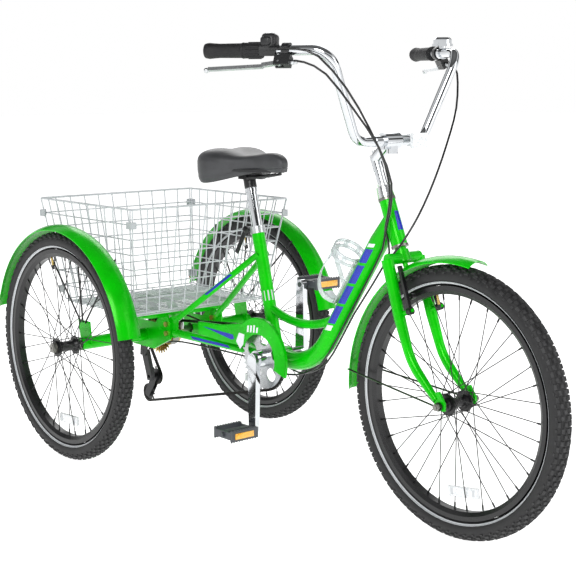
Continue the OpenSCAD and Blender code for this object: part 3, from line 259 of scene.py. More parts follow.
def fastenerFinish():
    # the lower bolts are yellow zinc and the basket's clips above them are grey plastic
    spec = {"size": 10, "zinc": ("#C7AE6A", "#A98F4C"), "clip": ("#B6BABD", "#A6ABAE"), "gloss": (0.28, 0.4)}
    material, tree, shader, where = startMaterial("fastenerFinish")
    height = add(tree, "ShaderNodeSeparateXYZ", {}, {"Vector": where}).outputs["Z"]
    basketFoot = {1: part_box("basket_floor")[0].z}
    above = add(tree, "ShaderNodeMath", basketFoot, {0: height}, operation="GREATER_THAN")
    values = {"Scale": 1 / (spec["size"] * mm), "Detail": 3.0, "Roughness": 0.5}
    cloud = add(tree, "ShaderNodeTexNoise", values, {"Vector": where}).outputs["Fac"]
    pick = add(tree, "ShaderNodeMix", {}, {0: above.outputs[0]}, data_type="RGBA")
    for socket, word in ((6, "zinc"), (7, "clip")):
        first, second = [colour(code) for code in spec[word]]
        tone = add(tree, "ShaderNodeMix", {6: first, 7: second}, {0: cloud}, data_type="RGBA")
        tree.links.new(tone.outputs[2], pick.inputs[socket])
    tree.links.new(pick.outputs[2], shader.inputs["Base Color"])
    values = {"From Min": 0, "From Max": 1, "To Min": 1, "To Max": 0}
    metal = add(tree, "ShaderNodeMapRange", values, {"Value": above.outputs[0]})
    tree.links.new(metal.outputs["Result"], shader.inputs["Metallic"])
    low, high = spec["gloss"]
    values = {"From Min": softSpan[0], "From Max": softSpan[1], "To Min": low, "To Max": high}
    gloss = add(tree, "ShaderNodeMapRange", values, {"Value": cloud})
    tree.links.new(gloss.outputs["Result"], shader.inputs["Roughness"])
    return material


finishes = {
    "green": (greenEnamel, ["main_frame", "rear_carrier", "rear_fenders", "chain_guard", "fork"]),
    "chrome": (chromePlate, ["seat_post", "stem", "handlebar", "bell", "cranks"]),
    "silver": (castAluminium, ["seat_clamp", "brake_lever_right", "brake_lever_left", "chainring",
                               "rear_brake_arm"]),
    "chain": (oiledChain, ["chain"]),
    "nylon": (pedalNylon, ["pedal_right", "pedal_left"]),
    "steel": (machinedSteel, ["brake_band", "frame_bearings", "rear_axle", "front_axle"]),
    "zinc": (zincYellow, ["brake_drum", "freewheel"]),
    "powder": (blackPowder, ["rear_fender_stays", "seat_clamp_lever", "saddle_rails", "rear_left_rim",
                             "rear_left_hub", "rear_right_rim", "rear_right_hub", "front_rim", "front_hub",
                             "v_brake_arm_right", "v_brake_arm_left"]),
    "spokes": (blackSpoke, ["rear_left_spokes", "rear_right_spokes", "front_spokes"]),
    "plastic": (blackPlastic, ["derailleur_body", "saddle_base", "lever_brackets",
                               "derailleur_cage", "jockey_upper", "jockey_lower"]),
    "rubber": (gripRubber, ["grips", "shifter_twist"]),
    "wire": (whiteWire, ["basket_floor", "basket_side_panels", "basket_end_panels"]),
    "sleeve": (sleevePlastic, ["frame_cables", "front_brake_cable"]),
    "cage": (clearCage, ["bottle_cage"]),
    "red": (redPrism, ["rear_reflectors"]),
    "white": (whitePrism, ["front_reflector"]),
}


def dress(node, material):
    node.data.materials.clear()
    node.data.materials.append(material)


for material, names in finishes.values():
    for name in names:
        dress(nodes[name], material)
dress(nodes["frame_fasteners"], fastenerFinish())


def enamelCopy(name):
    # a copy of the green enamel, with its shader, the socket of its tone and a new place to start from
    material = greenEnamel.copy()
    material.name = name
    tree = material.node_tree
    shader = tree.nodes["Principled BSDF"]
    tone = shader.inputs["Base Color"].links[0].from_socket
    return material, tree, shader, tone, add(tree, "ShaderNodeTexCoord").outputs["Object"]


# where the two partly green pieces change: above the tyre's outside, and above the head tube
partial = {"bladeAbove": 4.5 * mm, "stay": "#0E0E10", "headTop": 0.735, "plated": "#DADCDE"}


def fenderFinish():
    # the front fender's blade is green enamel, and its thin stays below the blade are black
    material, tree, shader, tone, where = enamelCopy("fenderFinish")
    shifted = add(tree, "ShaderNodeMapping", {"Location": (-frontHub.x, 0.0, -frontHub.z)}, {"Vector": where})
    level = {1: (1.0, 0.0, 1.0)}
    flat = add(tree, "ShaderNodeVectorMath", level, {0: shifted.outputs[0]}, operation="MULTIPLY")
    reach = add(tree, "ShaderNodeVectorMath", {}, {0: flat.outputs[0]}, operation="LENGTH").outputs["Value"]
    edge = wheelRadius + partial["bladeAbove"]
    blade = add(tree, "ShaderNodeMath", {1: edge}, {0: reach}, operation="GREATER_THAN")
    values = {6: colour(partial["stay"])}
    mix = add(tree, "ShaderNodeMix", values, {0: blade.outputs[0], 7: tone}, data_type="RGBA")
    tree.links.new(mix.outputs[2], shader.inputs["Base Color"])
    return material


def forkFinish():
    # the fork is green enamel, and its locknuts above the head tube are bright plated steel
    material, tree, shader, tone, where = enamelCopy("forkFinish")
    height = add(tree, "ShaderNodeSeparateXYZ", {}, {"Vector": where}).outputs["Z"]
    plated = add(tree, "ShaderNodeMath", {1: partial["headTop"]}, {0: height}, operation="GREATER_THAN")
    values = {7: colour(partial["plated"])}
    mix = add(tree, "ShaderNodeMix", values, {0: plated.outputs[0], 6: tone}, data_type="RGBA")
    tree.links.new(mix.outputs[2], shader.inputs["Base Color"])
    tree.links.new(plated.outputs[0], shader.inputs["Metallic"])
    return material


dress(nodes["front_fender"], fenderFinish())
dress(nodes["fork"], forkFinish())
print("frame nodes dressed")


def finishPiece(name, bm, material, body, smoothBelow=35):
    bmesh.ops.remove_doubles(bm, verts=bm.verts, dist=1e-6)  # joins points that share a place
    bmesh.ops.recalc_face_normals(bm, faces=bm.faces)
    mesh = bpy.data.meshes.new(name)
    bm.to_mesh(mesh)
    bm.free()
    mesh.shade_smooth()
    mesh.set_sharp_from_angle(angle=math.radians(smoothBelow))
    piece = bpy.data.objects.new(name, mesh)
    scene.collection.objects.link(piece)
    mesh.materials.append(material)
    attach(piece, body)
    return piece


def alongLine(start, end, side=(0, 1, 0)):
    # a frame at start with +Z towards end and +Y near side
    z = (Vector(end) - Vector(start)).normalized()
    x = Vector(side).cross(z).normalized()
    y = z.cross(x)
    turned = Matrix((x, y, z)).transposed().to_4x4()
    return Matrix.Translation(start) @ turned


def ringProfile(bm, profile, centre, steps=128):
    # spins a closed (radius, across) outline about the axle line through centre
    verts = [bm.verts.new((centre.x + r, centre.y + y, centre.z)) for r, y in profile]
    edges = [bm.edges.new((verts[i], verts[(i + 1) % len(verts)])) for i in range(len(verts))]
    bmesh.ops.spin(bm, geom=verts + edges, cent=centre, axis=(0, 1, 0), angle=math.tau,
                   steps=steps, use_merge=True, use_duplicate=False)


def bevelEdges(bm, edges, width, segments):
    bmesh.ops.bevel(bm, geom=edges, offset=width, offset_type="OFFSET", segments=segments,
                    profile=0.5, affect="EDGES", material=-1)


def block(bm, size, matrix, bevel=0.0, segments=2):
    part = bmesh.new()
    bmesh.ops.create_cube(part, size=1.0, matrix=Matrix.Diagonal((*size, 1.0)))
    if bevel:
        bevelEdges(part, part.edges[:], bevel, segments)
    bmesh.ops.transform(part, matrix=matrix, verts=part.verts)
    joinInto(bm, part)


def peg(bm, radius, length, matrix, segments=32, bevel=0.0, topRadius=None):
    part = bmesh.new()
    bmesh.ops.create_cone(part, cap_ends=True, segments=segments, radius1=radius,
                          radius2=radius if topRadius is None else topRadius, depth=length)
    if bevel:
        rim = [e for e in part.edges if len({round(v.co.z, 6) for v in e.verts}) == 1]
        bevelEdges(part, rim, bevel, 3)
    bmesh.ops.transform(part, matrix=matrix, verts=part.verts)
    joinInto(bm, part)


def joinInto(bm, part):
    holder = bpy.data.meshes.new("holder")
    part.to_mesh(holder)
    part.free()
    bm.from_mesh(holder)
    bpy.data.meshes.remove(holder)


tyre = {
    "width": 50 * mm,
    "carcassDrop": 3.4 * mm,      # how far the carcass lies below the block tops
    "blockHeight": 4.2 * mm,
    "pitches": 72,
    # angle from the tread's middle, length and width of each row's blocks
    "rows": [(0, 11.0, 8.0), (17, 9.5, 7.5), (34, 11.0, 7.0), (52, 12.0, 7.0), (68, 7.0, 4.5)],
    "sunk": 0.8 * mm,              # how far a block's foot lies inside the carcass
    "shoulder": (60, 1.4 * mm),    # rows beyond this angle are sunk by this much more
    "draft": (0.8, 0.86),          # how much narrower and shorter a block is at its top
    "wall": 3 * mm,
    "line": (118, 1.1 * mm),       # angle and radius of the moulded line above each bead
    "stripe": (264.5 * mm, 269.5 * mm),
    "stripeProud": 0.25 * mm,
    "stripeThick": 0.6 * mm,
    "beadRadius": 259.9 * mm,
}


valve = {
    "angle": 105,
    "rimDepth": 65 * mm,           # from the tyre's outside to the rim's inside
    "foot": 4 * mm, "tip": 30 * mm,
    "stem": (2.9 * mm, 0.3 * mm),  # radius and bevel
    "cap": (3.8 * mm, 11 * mm, 3 * mm, 0.6 * mm),  # radius, length, overlap and bevel
}


def makeTyre(name, centre, body, node):
    half = tyre["width"] / 2
    core = wheelRadius - half
    bm = bmesh.new()
    outer = half - tyre["carcassDrop"]
    bead = math.degrees(math.acos((tyre["beadRadius"] - core) / outer))
    sweep = [math.radians(-bead + i * 2 * bead / 30) for i in range(31)]
    profile = [(core + outer * math.cos(a), outer * math.sin(a)) for a in sweep]
    liner = outer - tyre["wall"]
    profile += [(core + liner * math.cos(a) + 0.001, liner * math.sin(a)) for a in reversed(sweep)]
    ringProfile(bm, profile, centre, 128)
    lineAngle, lineRadius = math.radians(tyre["line"][0]), tyre["line"][1]
    for side in (-1, 1):
        r, y = core + outer * math.cos(lineAngle), outer * math.sin(lineAngle)
        turns = [k * math.tau / 8 for k in range(8)]
        circle = [(r + lineRadius * math.cos(a), side * y + lineRadius * math.sin(a)) for a in turns]
        ringProfile(bm, circle, centre, 96)
    step = math.tau / tyre["pitches"]
    for i in range(tyre["pitches"]):
        for row, (angle, long, wide) in enumerate(tyre["rows"]):
            for side in ((1, -1) if angle else (1,)):
                lean = math.radians(side * angle)
                about = (i + 0.5 * (row % 2)) * step
                out = outer + tyre["blockHeight"] / 2 - tyre["sunk"]
                lower = tyre["shoulder"][1] if angle > tyre["shoulder"][0] else 0
                place = (Matrix.Translation(centre) @ Matrix.Rotation(about, 4, "Y")
                         @ Matrix.Translation((core, 0, 0)) @ Matrix.Rotation(lean, 4, "Z")
                         @ Matrix.Translation((out - lower, 0, 0)))
                part = bmesh.new()
                size = Matrix.Diagonal((tyre["blockHeight"], wide * mm, long * mm, 1))
                bmesh.ops.create_cube(part, size=1.0, matrix=size)
                for v in part.verts:
                    if v.co.x > 0:
                        v.co.y *= tyre["draft"][0]
                        v.co.z *= tyre["draft"][1]
                # the blocks take the second slot, the lighter rubber that paints their highlight
                for face in part.faces:
                    face.material_index = 1
                bmesh.ops.transform(part, matrix=place, verts=part.verts)
                joinInto(bm, part)
    piece = finishPiece(name, bm, tyreRubber, body, 38)
    # second slot: the blocks' lighter rubber, a painted highlight
    piece.data.materials.append(blockRubberPaintedHighlight)
    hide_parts(node)
    # reflective stripe on both walls, laid on the carcass
    bm = bmesh.new()
    for side in (-1, 1):
        rows = []
        for r in tyre["stripe"]:
            y = math.sqrt(max(0, outer ** 2 - (r - core) ** 2))
            rows.append((r, side * (y + tyre["stripeProud"])))
        inner = [(r, y - side * tyre["stripeThick"]) for r, y in reversed(rows)]
        ringProfile(bm, rows + inner, centre, 128)
    finishPiece(name + "Stripe", bm, silverFilm, body, 30)
    # valve with its cap
    bm = bmesh.new()
    a = math.radians(valve["angle"])
    way = Vector((math.cos(a), 0, math.sin(a)))
    rimInner = (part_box(node)[1].z - centre.z) - valve["rimDepth"]
    foot = centre + way * (rimInner + valve["foot"])
    tip = centre + way * (rimInner - valve["tip"])
    peg(bm, valve["stem"][0], (foot - tip).length, alongLine((foot + tip) / 2, foot), 24, valve["stem"][1])
    finishPiece(name + "Valve", bm, zincYellow, body, 40)
    bm = bmesh.new()
    radius, length, overlap, bevel = valve["cap"]
    peg(bm, radius, length, alongLine(tip + way * overlap, foot), 20, bevel)
    finishPiece(name + "ValveCap", bm, blackPlastic, body, 40)


makeTyre("frontTyreTread", frontHub, "front_wheel", "front_tyre")
makeTyre("leftTyreTread", leftHub, "left_drive", "rear_left_tyre")
makeTyre("rightTyreTread", rightHub, "right_wheel", "rear_right_tyre")
print("tyres made")

# wheel reflectors, clipped between the spokes
wheelReflector = {
    "radius": 198 * mm,
    "size": (88, 24, 9),           # length, height and thickness
    "bevel": 2.4 * mm,
    "clips": (-0.36, 0.36),        # places along the length
    "clip": (7 * mm, 1.25, 0.62),  # length, and thickness and height as shares of the reflector's
}


def makeWheelReflector(name, centre, body, angle):
    bm = bmesh.new()
    length, tall, thick = [s * mm for s in wheelReflector["size"]]
    a = math.radians(angle)
    out = Vector((math.cos(a), 0, math.sin(a)))
    place = (Matrix.Translation(centre + out * wheelReflector["radius"])
             @ Matrix.Rotation(-(a + math.pi / 2), 4, "Y"))
    block(bm, (length, thick, tall), place, wheelReflector["bevel"], 3)
    finishPiece(name, bm, whitePrism, body, 40)
    bm = bmesh.new()
    clip, thicker, lower = wheelReflector["clip"]
    for end in wheelReflector["clips"]:
        at = place @ Matrix.Translation((end * length, 0, 0))
        block(bm, (clip, thick * thicker, tall * lower), at, 1 * mm, 2)
    finishPiece(name + "Clips", bm, silverFilm, body, 40)


makeWheelReflector("frontWheelReflector", frontHub, "front_wheel", -82)
makeWheelReflector("leftWheelReflector", leftHub, "left_drive", -96)
makeWheelReflector("rightWheelReflector", rightHub, "right_wheel", -88)
print("wheel reflectors made")

# saddle: a crowned vinyl cushion with a sunk seam round its skirt
saddle = {
    "rear": 250 * mm,              # ends, from the rear axle
    "nose": 512 * mm,
    "halfWide": 113 * mm,
    "halfNose": 29 * mm,
    "crown": 40 * mm,
    "skirt": 22 * mm,              # how far the skirt hangs below the cushion's middle at the nose
    "drop": 46 * mm,               # how much lower it hangs round the rider's seat bones
    "seam": 1.4 * mm,
    "middle": 13 * mm,             # the seam's height above the bottom of the cover
    "base": 1.5 * mm,              # how much of the base plate the hollow underside takes in
    "ends": (3.6, 2.6),            # how square the outline is behind and in front
    "round": (0.62, 0.82),         # how round the sides and the top are
    "valley": (6, 24 * mm),        # depth in millimetres and half-width of the groove along the middle
    "dip": (9, 0.5, 0.17),         # depth in millimetres, place and length of the low middle
    "rise": (7, 0.66, 0.25),       # height in millimetres, place and length of the lift at the nose
    "pinch": (0.2, 0.07),          # angle of the seam below the edge, and its width
    "wrinkle": (18, 0.9 * mm),     # how close the skin's slight bumps are, and their height
}


def ease(t):
    t = min(1, max(0, t))
    return t * t * (3 - 2 * t)


def makeSaddle():
    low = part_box("saddle_cover")[0]
    middleZ = low.z + saddle["middle"]
    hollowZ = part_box("saddle_base")[0].z + saddle["base"]
    rear, nose = rearX + saddle["rear"], rearX + saddle["nose"]
    bm = bmesh.new()
    bmesh.ops.create_uvsphere(bm, u_segments=128, v_segments=80, radius=1.0,
                              matrix=Matrix.Rotation(math.pi / 2, 4, "Y"))
    for v in bm.verts:
        s, a = max(-1.0, min(1.0, v.co.x)), math.atan2(v.co.z, v.co.y)
        t = (1 + s) / 2
        full = saddle["ends"][0] if s < 0 else saddle["ends"][1]
        girth = (1 - abs(s) ** full) ** (1 / full)
        wide = saddle["halfNose"] + (saddle["halfWide"] - saddle["halfNose"]) * (1 - ease((t - 0.1) / 0.7))
        crown = saddle["crown"] * (1 - 0.3 * ease((t - 0.1) / 0.6))
        skirt = saddle["skirt"] + saddle["drop"] * (1 - ease((t - 0.1) / 0.72))
        c, q = math.cos(a), math.sin(a)
        side = abs(c) ** saddle["round"][0]
        y = wide * girth * math.copysign(side, c)
        if q > 0:
            z = crown * girth * q ** saddle["round"][1]
            (deep, across), (sunk, at, length) = saddle["valley"], saddle["dip"]
            up, start, over = saddle["rise"]
            valley = math.exp(-(y / across) ** 2) * ease(1 - t * 1.3)
            dip = math.exp(-((t - at) / length) ** 2)
            z += (-deep * valley - sunk * dip + up * ease((t - start) / over)) * mm * girth * q
        else:
            z = -skirt * min(1.0, abs(q) ** 0.5 * 1.1) * (0.25 + 0.75 * girth)
            inward = ease((0.9 - side) / 0.16)
            z += (hollowZ - middleZ - z) * inward if girth > 0.4 else 0
        v.co = Vector((rear + (nose - rear) * t, y, middleZ + z))
        pinch = math.exp(-((math.asin(q) + saddle["pinch"][0]) / saddle["pinch"][1]) ** 2)
        if abs(y) > 4 * mm:
            v.co.y -= math.copysign(saddle["seam"] * pinch, y)
        if q > 0.2:
            v.co.z += noise.noise(v.co * saddle["wrinkle"][0]) * saddle["wrinkle"][1]
    piece = finishPiece("saddleSkinCover", bm, saddleSkin, "seat", 80)
    smooth = piece.modifiers.new("smooth", "SUBSURF")
    smooth.levels = smooth.render_levels = 1
    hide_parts("saddle_cover")


makeSaddle()
print("saddle made")


def tubePatch(bm, start, end, radius, fromAngle, toAngle, lean=0.0, taper=1.0, side=(0, 1, 0)):
    # a thin film on a round tube, from start to end and between two angles; lean slants its ends
    part = bmesh.new()
    length = (Vector(end) - Vector(start)).length
    bmesh.ops.create_grid(part, x_segments=12, y_segments=10, size=0.5)
    for v in part.verts:
        along, around = v.co.x + 0.5, v.co.y + 0.5
        narrow = 1 - (1 - taper) * along
        middle = (fromAngle + toAngle) / 2
        a = math.radians(middle + (toAngle - fromAngle) * (around - 0.5) * narrow)
        v.co = Vector((radius * math.cos(a), radius * math.sin(a), along * length + lean * (around - 0.5)))
    bmesh.ops.recalc_face_normals(part, faces=part.faces)
    outward = 0
    for f in part.faces:
        at = f.calc_center_median()
        outward += f.normal.dot(Vector((at.x, at.y, 0)))
    if outward < 0:
        bmesh.ops.reverse_faces(part, faces=part.faces)
    bmesh.ops.solidify(part, geom=part.faces[:], thickness=films["thick"])
    bmesh.ops.transform(part, matrix=alongLine(start, end, side), verts=part.verts)
    joinInto(bm, part)


def fromAxle(x, y, z):
    # a place measured from the rear axle's ground point, in millimetres
    return Vector((rearX + x * mm, y * mm, z * mm))


# the tubes that carry films, in millimetres from the ground below the rear axle
frameLines = {
    "mainCorner": (621, 305),
    "mainTop": (883, 696),
    "mainRadius": 23.0,
    "bracket": (482, 312),
    "chainStay": ((385, 24, 315), (134, 71, 329)),
    "seatStay": ((420.8, 12, 567.8), (136, 71, 362)),
    "seatBand": (444, 462),
    "headTube": ((908.6, 0, 635), (867.7, 0, 733)),
}


def onMain(t):
    a, b = Vector(frameLines["mainCorner"]), Vector(frameLines["mainTop"])
    p = a + (b - a).normalized() * t
    return fromAxle(p.x, 0, p.y)


films = {
    "proud": 0.25,
    "thick": 0.3 * mm,
    # half the angle covered, the slant of the ends, and the places along the main tube
    "stripes": (26, 14 * mm, [(150, 205), (213, 268), (276, 331), (339, 380)]),
    "accents": (22, 12 * mm, [(128, 144), (386, 396)]),
    # the stay, its film's ends as shares of it, its radius, half the angle covered and the slant of the ends
    "stays": [("chainStay", 0.2, 0.72, 11.25, 20, 10 * mm), ("seatStay", 0.3, 0.6, 8.25, 24, 8 * mm)],
    "band": (3.2, 12.6, 16.8),     # half its length forward and up, and its radius
    "badge": (0.3, 0.72, 18.8, 26, 0.7),  # ends as shares, radius, half the angle covered and taper
}
r = (frameLines["mainRadius"] + films["proud"]) * mm
for word, material in (("Stripes", blueFilm), ("Accents", whiteFilm)):
    half, slant, places = films[word.lower()]
    bm = bmesh.new()
    for side in (-90, 90):
        for low, high in places:
            tubePatch(bm, onMain(low), onMain(high), r, side - half, side + half, slant)
    finishPiece("mainTube" + word, bm, material, "frame", 30)

# plain stripes on the stays and a band on the seat tube
bm = bmesh.new()
for side in (-1, 1):
    for stay, start, end, radius, half, slant in films["stays"]:
        near, far = [fromAxle(x, side * y, z) for x, y, z in frameLines[stay]]
        tubePatch(bm, near.lerp(far, start), near.lerp(far, end), radius * mm,
                  side * 90 - half, side * 90 + half, slant)
finishPiece("stayStripes", bm, blueFilm, "frame", 30)
bm = bmesh.new()
x, z = frameLines["seatBand"]
forward, rise, radius = films["band"]
tubePatch(bm, fromAxle(x + forward, 0, z - rise), fromAxle(x - forward, 0, z + rise),
          radius * mm, -180, 179.5)
finishPiece("seatTubeBand", bm, silverFilm, "frame", 30)
print("films made")

# head badge, a plain blue shield on the front of the head tube
foot, top = [fromAxle(x, y, z) for x, y, z in frameLines["headTube"]]
start, end, radius, half, taper = films["badge"]
bm = bmesh.new()
tubePatch(bm, foot.lerp(top, start), foot.lerp(top, end), radius * mm, -half, half, 0.0, taper)
finishPiece("headBadge", bm, blueFilm, "frame", 30)

# chain guard: a pressed crescent over the chainring with a rolled edge, a stripe and pale marks
guardShape = {
    "outer": 104, "inner": 62, "from": 128, "to": -18, "back": 158, "thick": 1.6 * mm,
    "tail": [(232, 338), (230, 371), (330, 377), (330, 334)],  # from the rear axle's ground point
    "lip": (7 * mm, 0.6 * mm),     # how far the edge turns in, and how far its pieces overlap
    "lipPlaces": (1, 28),          # the part of the outline that has the lip
    "film": 0.3 * mm,
    "stripe": [(250, 362), (378, 359), (384, 349), (372, 345)],
    "arrow": [(392, 344), (404, 368), (426, 366), (421, 340), (408, 326)],
    "bars": {"first": 436, "pitch": 12, "wide": 6.5, "lean": 2.5, "low": 374, "high": 391, "cut": 6},
}


def guardOutline():
    x, z = frameLines["bracket"]
    middle = fromAxle(x, 0, z)
    tail = [fromAxle(x, 0, z) for x, z in guardShape["tail"]]
    places = tail[:3]
    steps = 24
    for word, first, last in (("outer", guardShape["from"], guardShape["to"]),
                              ("inner", guardShape["to"], guardShape["back"])):
        for k in range(steps + 1):
            a = math.radians(first + (last - first) * k / steps)
            places.append(middle + Vector((math.cos(a), 0, math.sin(a))) * guardShape[word] * mm)
    return places + tail[3:]


def pressedSheet(bm, places, y, thick):
    verts = [bm.verts.new((p.x, y, p.z)) for p in places]
    face = bm.faces.new(verts)
    pushed = bmesh.ops.extrude_face_region(bm, geom=[face])
    moved = [v for v in pushed["geom"] if isinstance(v, bmesh.types.BMVert)]
    bmesh.ops.translate(bm, vec=(0, thick, 0), verts=moved)


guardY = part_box("chain_guard")[0].y
bm = bmesh.new()
outline = guardOutline()
pressedSheet(bm, outline, guardY, guardShape["thick"])
lip, overlap = guardShape["lip"]
inward = Vector((0, guardY + lip / 2, 0))
lipEdges = outline[guardShape["lipPlaces"][0]:guardShape["lipPlaces"][1]]
for a, b in zip(lipEdges, lipEdges[1:]):  # the rolled edge turns in towards the chain
    size = (guardShape["thick"], lip, (b - a).length + overlap)
    block(bm, size, alongLine((a + b) / 2 + inward, b + inward))
guardPiece = finishPiece("chainGuardSheet", bm, greenEnamel, "frame", 40)
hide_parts("chain_guard")


def guardFilm(bm, places):
    pressedSheet(bm, [fromAxle(x, 0, z) for x, z in places], guardY - guardShape["film"], guardShape["film"])


bm = bmesh.new()
guardFilm(bm, guardShape["stripe"])
finishPiece("guardStripe", bm, blueFilm, "frame", 30)
bm = bmesh.new()
guardFilm(bm, guardShape["arrow"])
bars = guardShape["bars"]
for k in range(4):
    x = bars["first"] + bars["pitch"] * k
    top = bars["high"] + 2 * k - bars["cut"] * (k > 2)  # the last bar is cut short
    guardFilm(bm, [(x, bars["low"] + k), (x + bars["wide"], bars["low"] + 1 + k),
                   (x + bars["wide"] + bars["lean"], top + 1), (x + bars["lean"], top)])
finishPiece("guardMarks", bm, whiteFilm, "frame", 30)
print("badge and stripes made")

# a moulded shell over the twist shifter's housing, and the adjusters of the brake cables
shifter = {
    "along": 139, "rise": 17, "size": (33, 34, 37), "turn": 8, "bevel": 9 * mm,
    "spout": (0.7, 0.8, 0.5), "spoutPlace": (3 * mm, 10 * mm, 2 * mm), "spoutBevel": 5 * mm,
    "window": (17, 20, 3), "windowSunk": 0.6 * mm,
}
adjuster = {
    "pivots": ((-1, 112), (1, 140)),             # side, and the lever's pivot along the grip
    "steps": ((-30, 4.6, 9), (-38, 3.2, 8)),     # place, radius and length
    "tilt": 28, "drop": 30 * mm, "bevel": 0.5 * mm,
}
barSize = {"bend": (893, -200, 1066), "grip": (-263, -129, 0)}


def onGrip(along, across, rise, side=-1):
    # a frame on a grip's straight: +X out along it and +Z up
    bend = fromAxle(barSize["bend"][0], barSize["bend"][1], barSize["bend"][2])
    x = Vector(barSize["grip"]).normalized()
    y = Vector((0, 0, 1)).cross(x)
    turned = Matrix((x, y, Vector((0, 0, 1)))).transposed().to_4x4()
    place = Matrix.Translation(bend) @ turned @ Matrix.Translation((along * mm, across * mm, rise * mm))
    return place if side < 0 else Matrix.Diagonal((1, -1, 1, 1)) @ place


bm = bmesh.new()
size = [d * mm for d in shifter["size"]]
place = onGrip(shifter["along"], 0, shifter["rise"])
block(bm, size, place @ Matrix.Rotation(math.radians(shifter["turn"]), 4, "X"), shifter["bevel"], 3)
spout = [d * share for d, share in zip(size, shifter["spout"])]
block(bm, spout, place @ Matrix.Translation(shifter["spoutPlace"]), shifter["spoutBevel"], 3)
finishPiece("shifterShell", bm, blackPlastic, "steering", 30)
bm = bmesh.new()
top = place @ Matrix.Translation((0, 0, size[2] / 2 - shifter["windowSunk"]))
block(bm, [d * mm for d in shifter["window"]], top, 1.2 * mm, 2)
finishPiece("shifterWindow", bm, whitePrism, "steering", 30)

for side, pivot in adjuster["pivots"]:
    bm = bmesh.new()
    for start, radius, length in adjuster["steps"]:
        place = (onGrip(pivot + start, 0, 0, side) @ Matrix.Rotation(math.radians(adjuster["tilt"]), 4, "X")
                 @ Matrix.Translation((0, 0, -adjuster["drop"])) @ Matrix.Rotation(math.pi / 2, 4, "Y"))
        peg(bm, radius * mm, length * mm, place, 18, adjuster["bevel"])
    finishPiece("barrelAdjuster" + ("Right" if side < 0 else "Left"), bm, castAluminium, "steering", 40)
print("controls made")

# bottle holder: a milky spine on the main tube, a slotted ring above, two curved arms and a toe below
holder = {
    "middle": (0.178015, 0.0, 0.554952),
    "axis": (0.5570365, 0.0, 0.830488),
    "inner": 37.3, "thick": 2.6, "half": 68.5,
    "rails": (7.5, [5.5, 22]),    # how wide each rail of the ring is, and how far below the top
    "bars": (11, 24, 4, [-150, -100, -55, 55, 100, 150]),  # width, ends below the top, and angles
    "armWide": 11,
    "spine": (24, 6.0),
    "toe": ((44, 26, 3), (19, 0, -66.8)),  # size and place
    "arm": [(180, 51), (176, 34), (163, 12), (142, -10), (118, -30), (90, -47), (60, -58), (28, -62), (0, -63)],
}
holderPlace = (Matrix.Translation(holder["middle"])
               @ Matrix((Vector((holder["axis"][2], 0, -holder["axis"][0])), Vector((0, 1, 0)),
                         Vector(holder["axis"]))).transposed().to_4x4())


def ribbon(bm, path, wide, reach, thick):
    # sweeps a flat strip over a cylinder of radius reach, through (angle, height) places
    part = bmesh.new()
    rings = []
    for k, (angle, height) in enumerate(path):
        before, after = path[max(k - 1, 0)], path[min(k + 1, len(path) - 1)]
        along = Vector((math.radians(after[0] - before[0]) * reach, after[1] - before[1])).normalized()
        ring = []
        for across, depth in ((-0.5, 0), (0.5, 0), (0.5, thick), (-0.5, thick)):
            turn = math.radians(angle) - along.y * across * wide / reach
            r = reach + depth
            ring.append(Vector((r * math.cos(turn), r * math.sin(turn), height + along.x * across * wide)) * mm)
        rings.append(ring)
    face = part.faces.new([part.verts.new(place) for place in rings[0]])
    for ring in rings[1:]:
        pushed = bmesh.ops.extrude_face_region(part, geom=[face])
        face = next(g for g in pushed["geom"] if isinstance(g, bmesh.types.BMFace))
        for vert, place in zip(face.verts, ring):
            vert.co = place
    bmesh.ops.recalc_face_normals(part, faces=part.faces)
    bmesh.ops.transform(part, matrix=holderPlace, verts=part.verts)
    joinInto(bm, part)


bm = bmesh.new()
wide, drops = holder["rails"]
for drop in drops:
    ribbon(bm, [(k * 6, holder["half"] - drop) for k in range(61)], wide, holder["inner"], holder["thick"])
wide, foot, top, angles = holder["bars"]
for angle in angles:
    path = [(angle, holder["half"] - foot), (angle, holder["half"] - top)]
    ribbon(bm, path, wide, holder["inner"] + 0.15, holder["thick"] - 0.3)
for side in (-1, 1):
    steps = []
    for (a, h), (b, g) in zip(holder["arm"], holder["arm"][1:]):
        steps += [(side * (a + (b - a) * k / 5), h + (g - h) * k / 5) for k in range(5)]
    ribbon(bm, steps + holder["arm"][-1:], holder["armWide"], holder["inner"] + 0.05, holder["thick"] + 0.4)
wide, thick = holder["spine"]
ribbon(bm, [(0, -holder["half"] + 1), (0, holder["half"] - 2)], wide, holder["inner"] + 0.1, thick)
size, at = [[d * mm for d in triple] for triple in holder["toe"]]
block(bm, size, holderPlace @ Matrix.Translation(at), 1.2 * mm, 2)
piece = finishPiece("bottleHolderMoulding", bm, clearCage, "frame", 35)
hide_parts("bottle_cage")
print("bottle holder made")

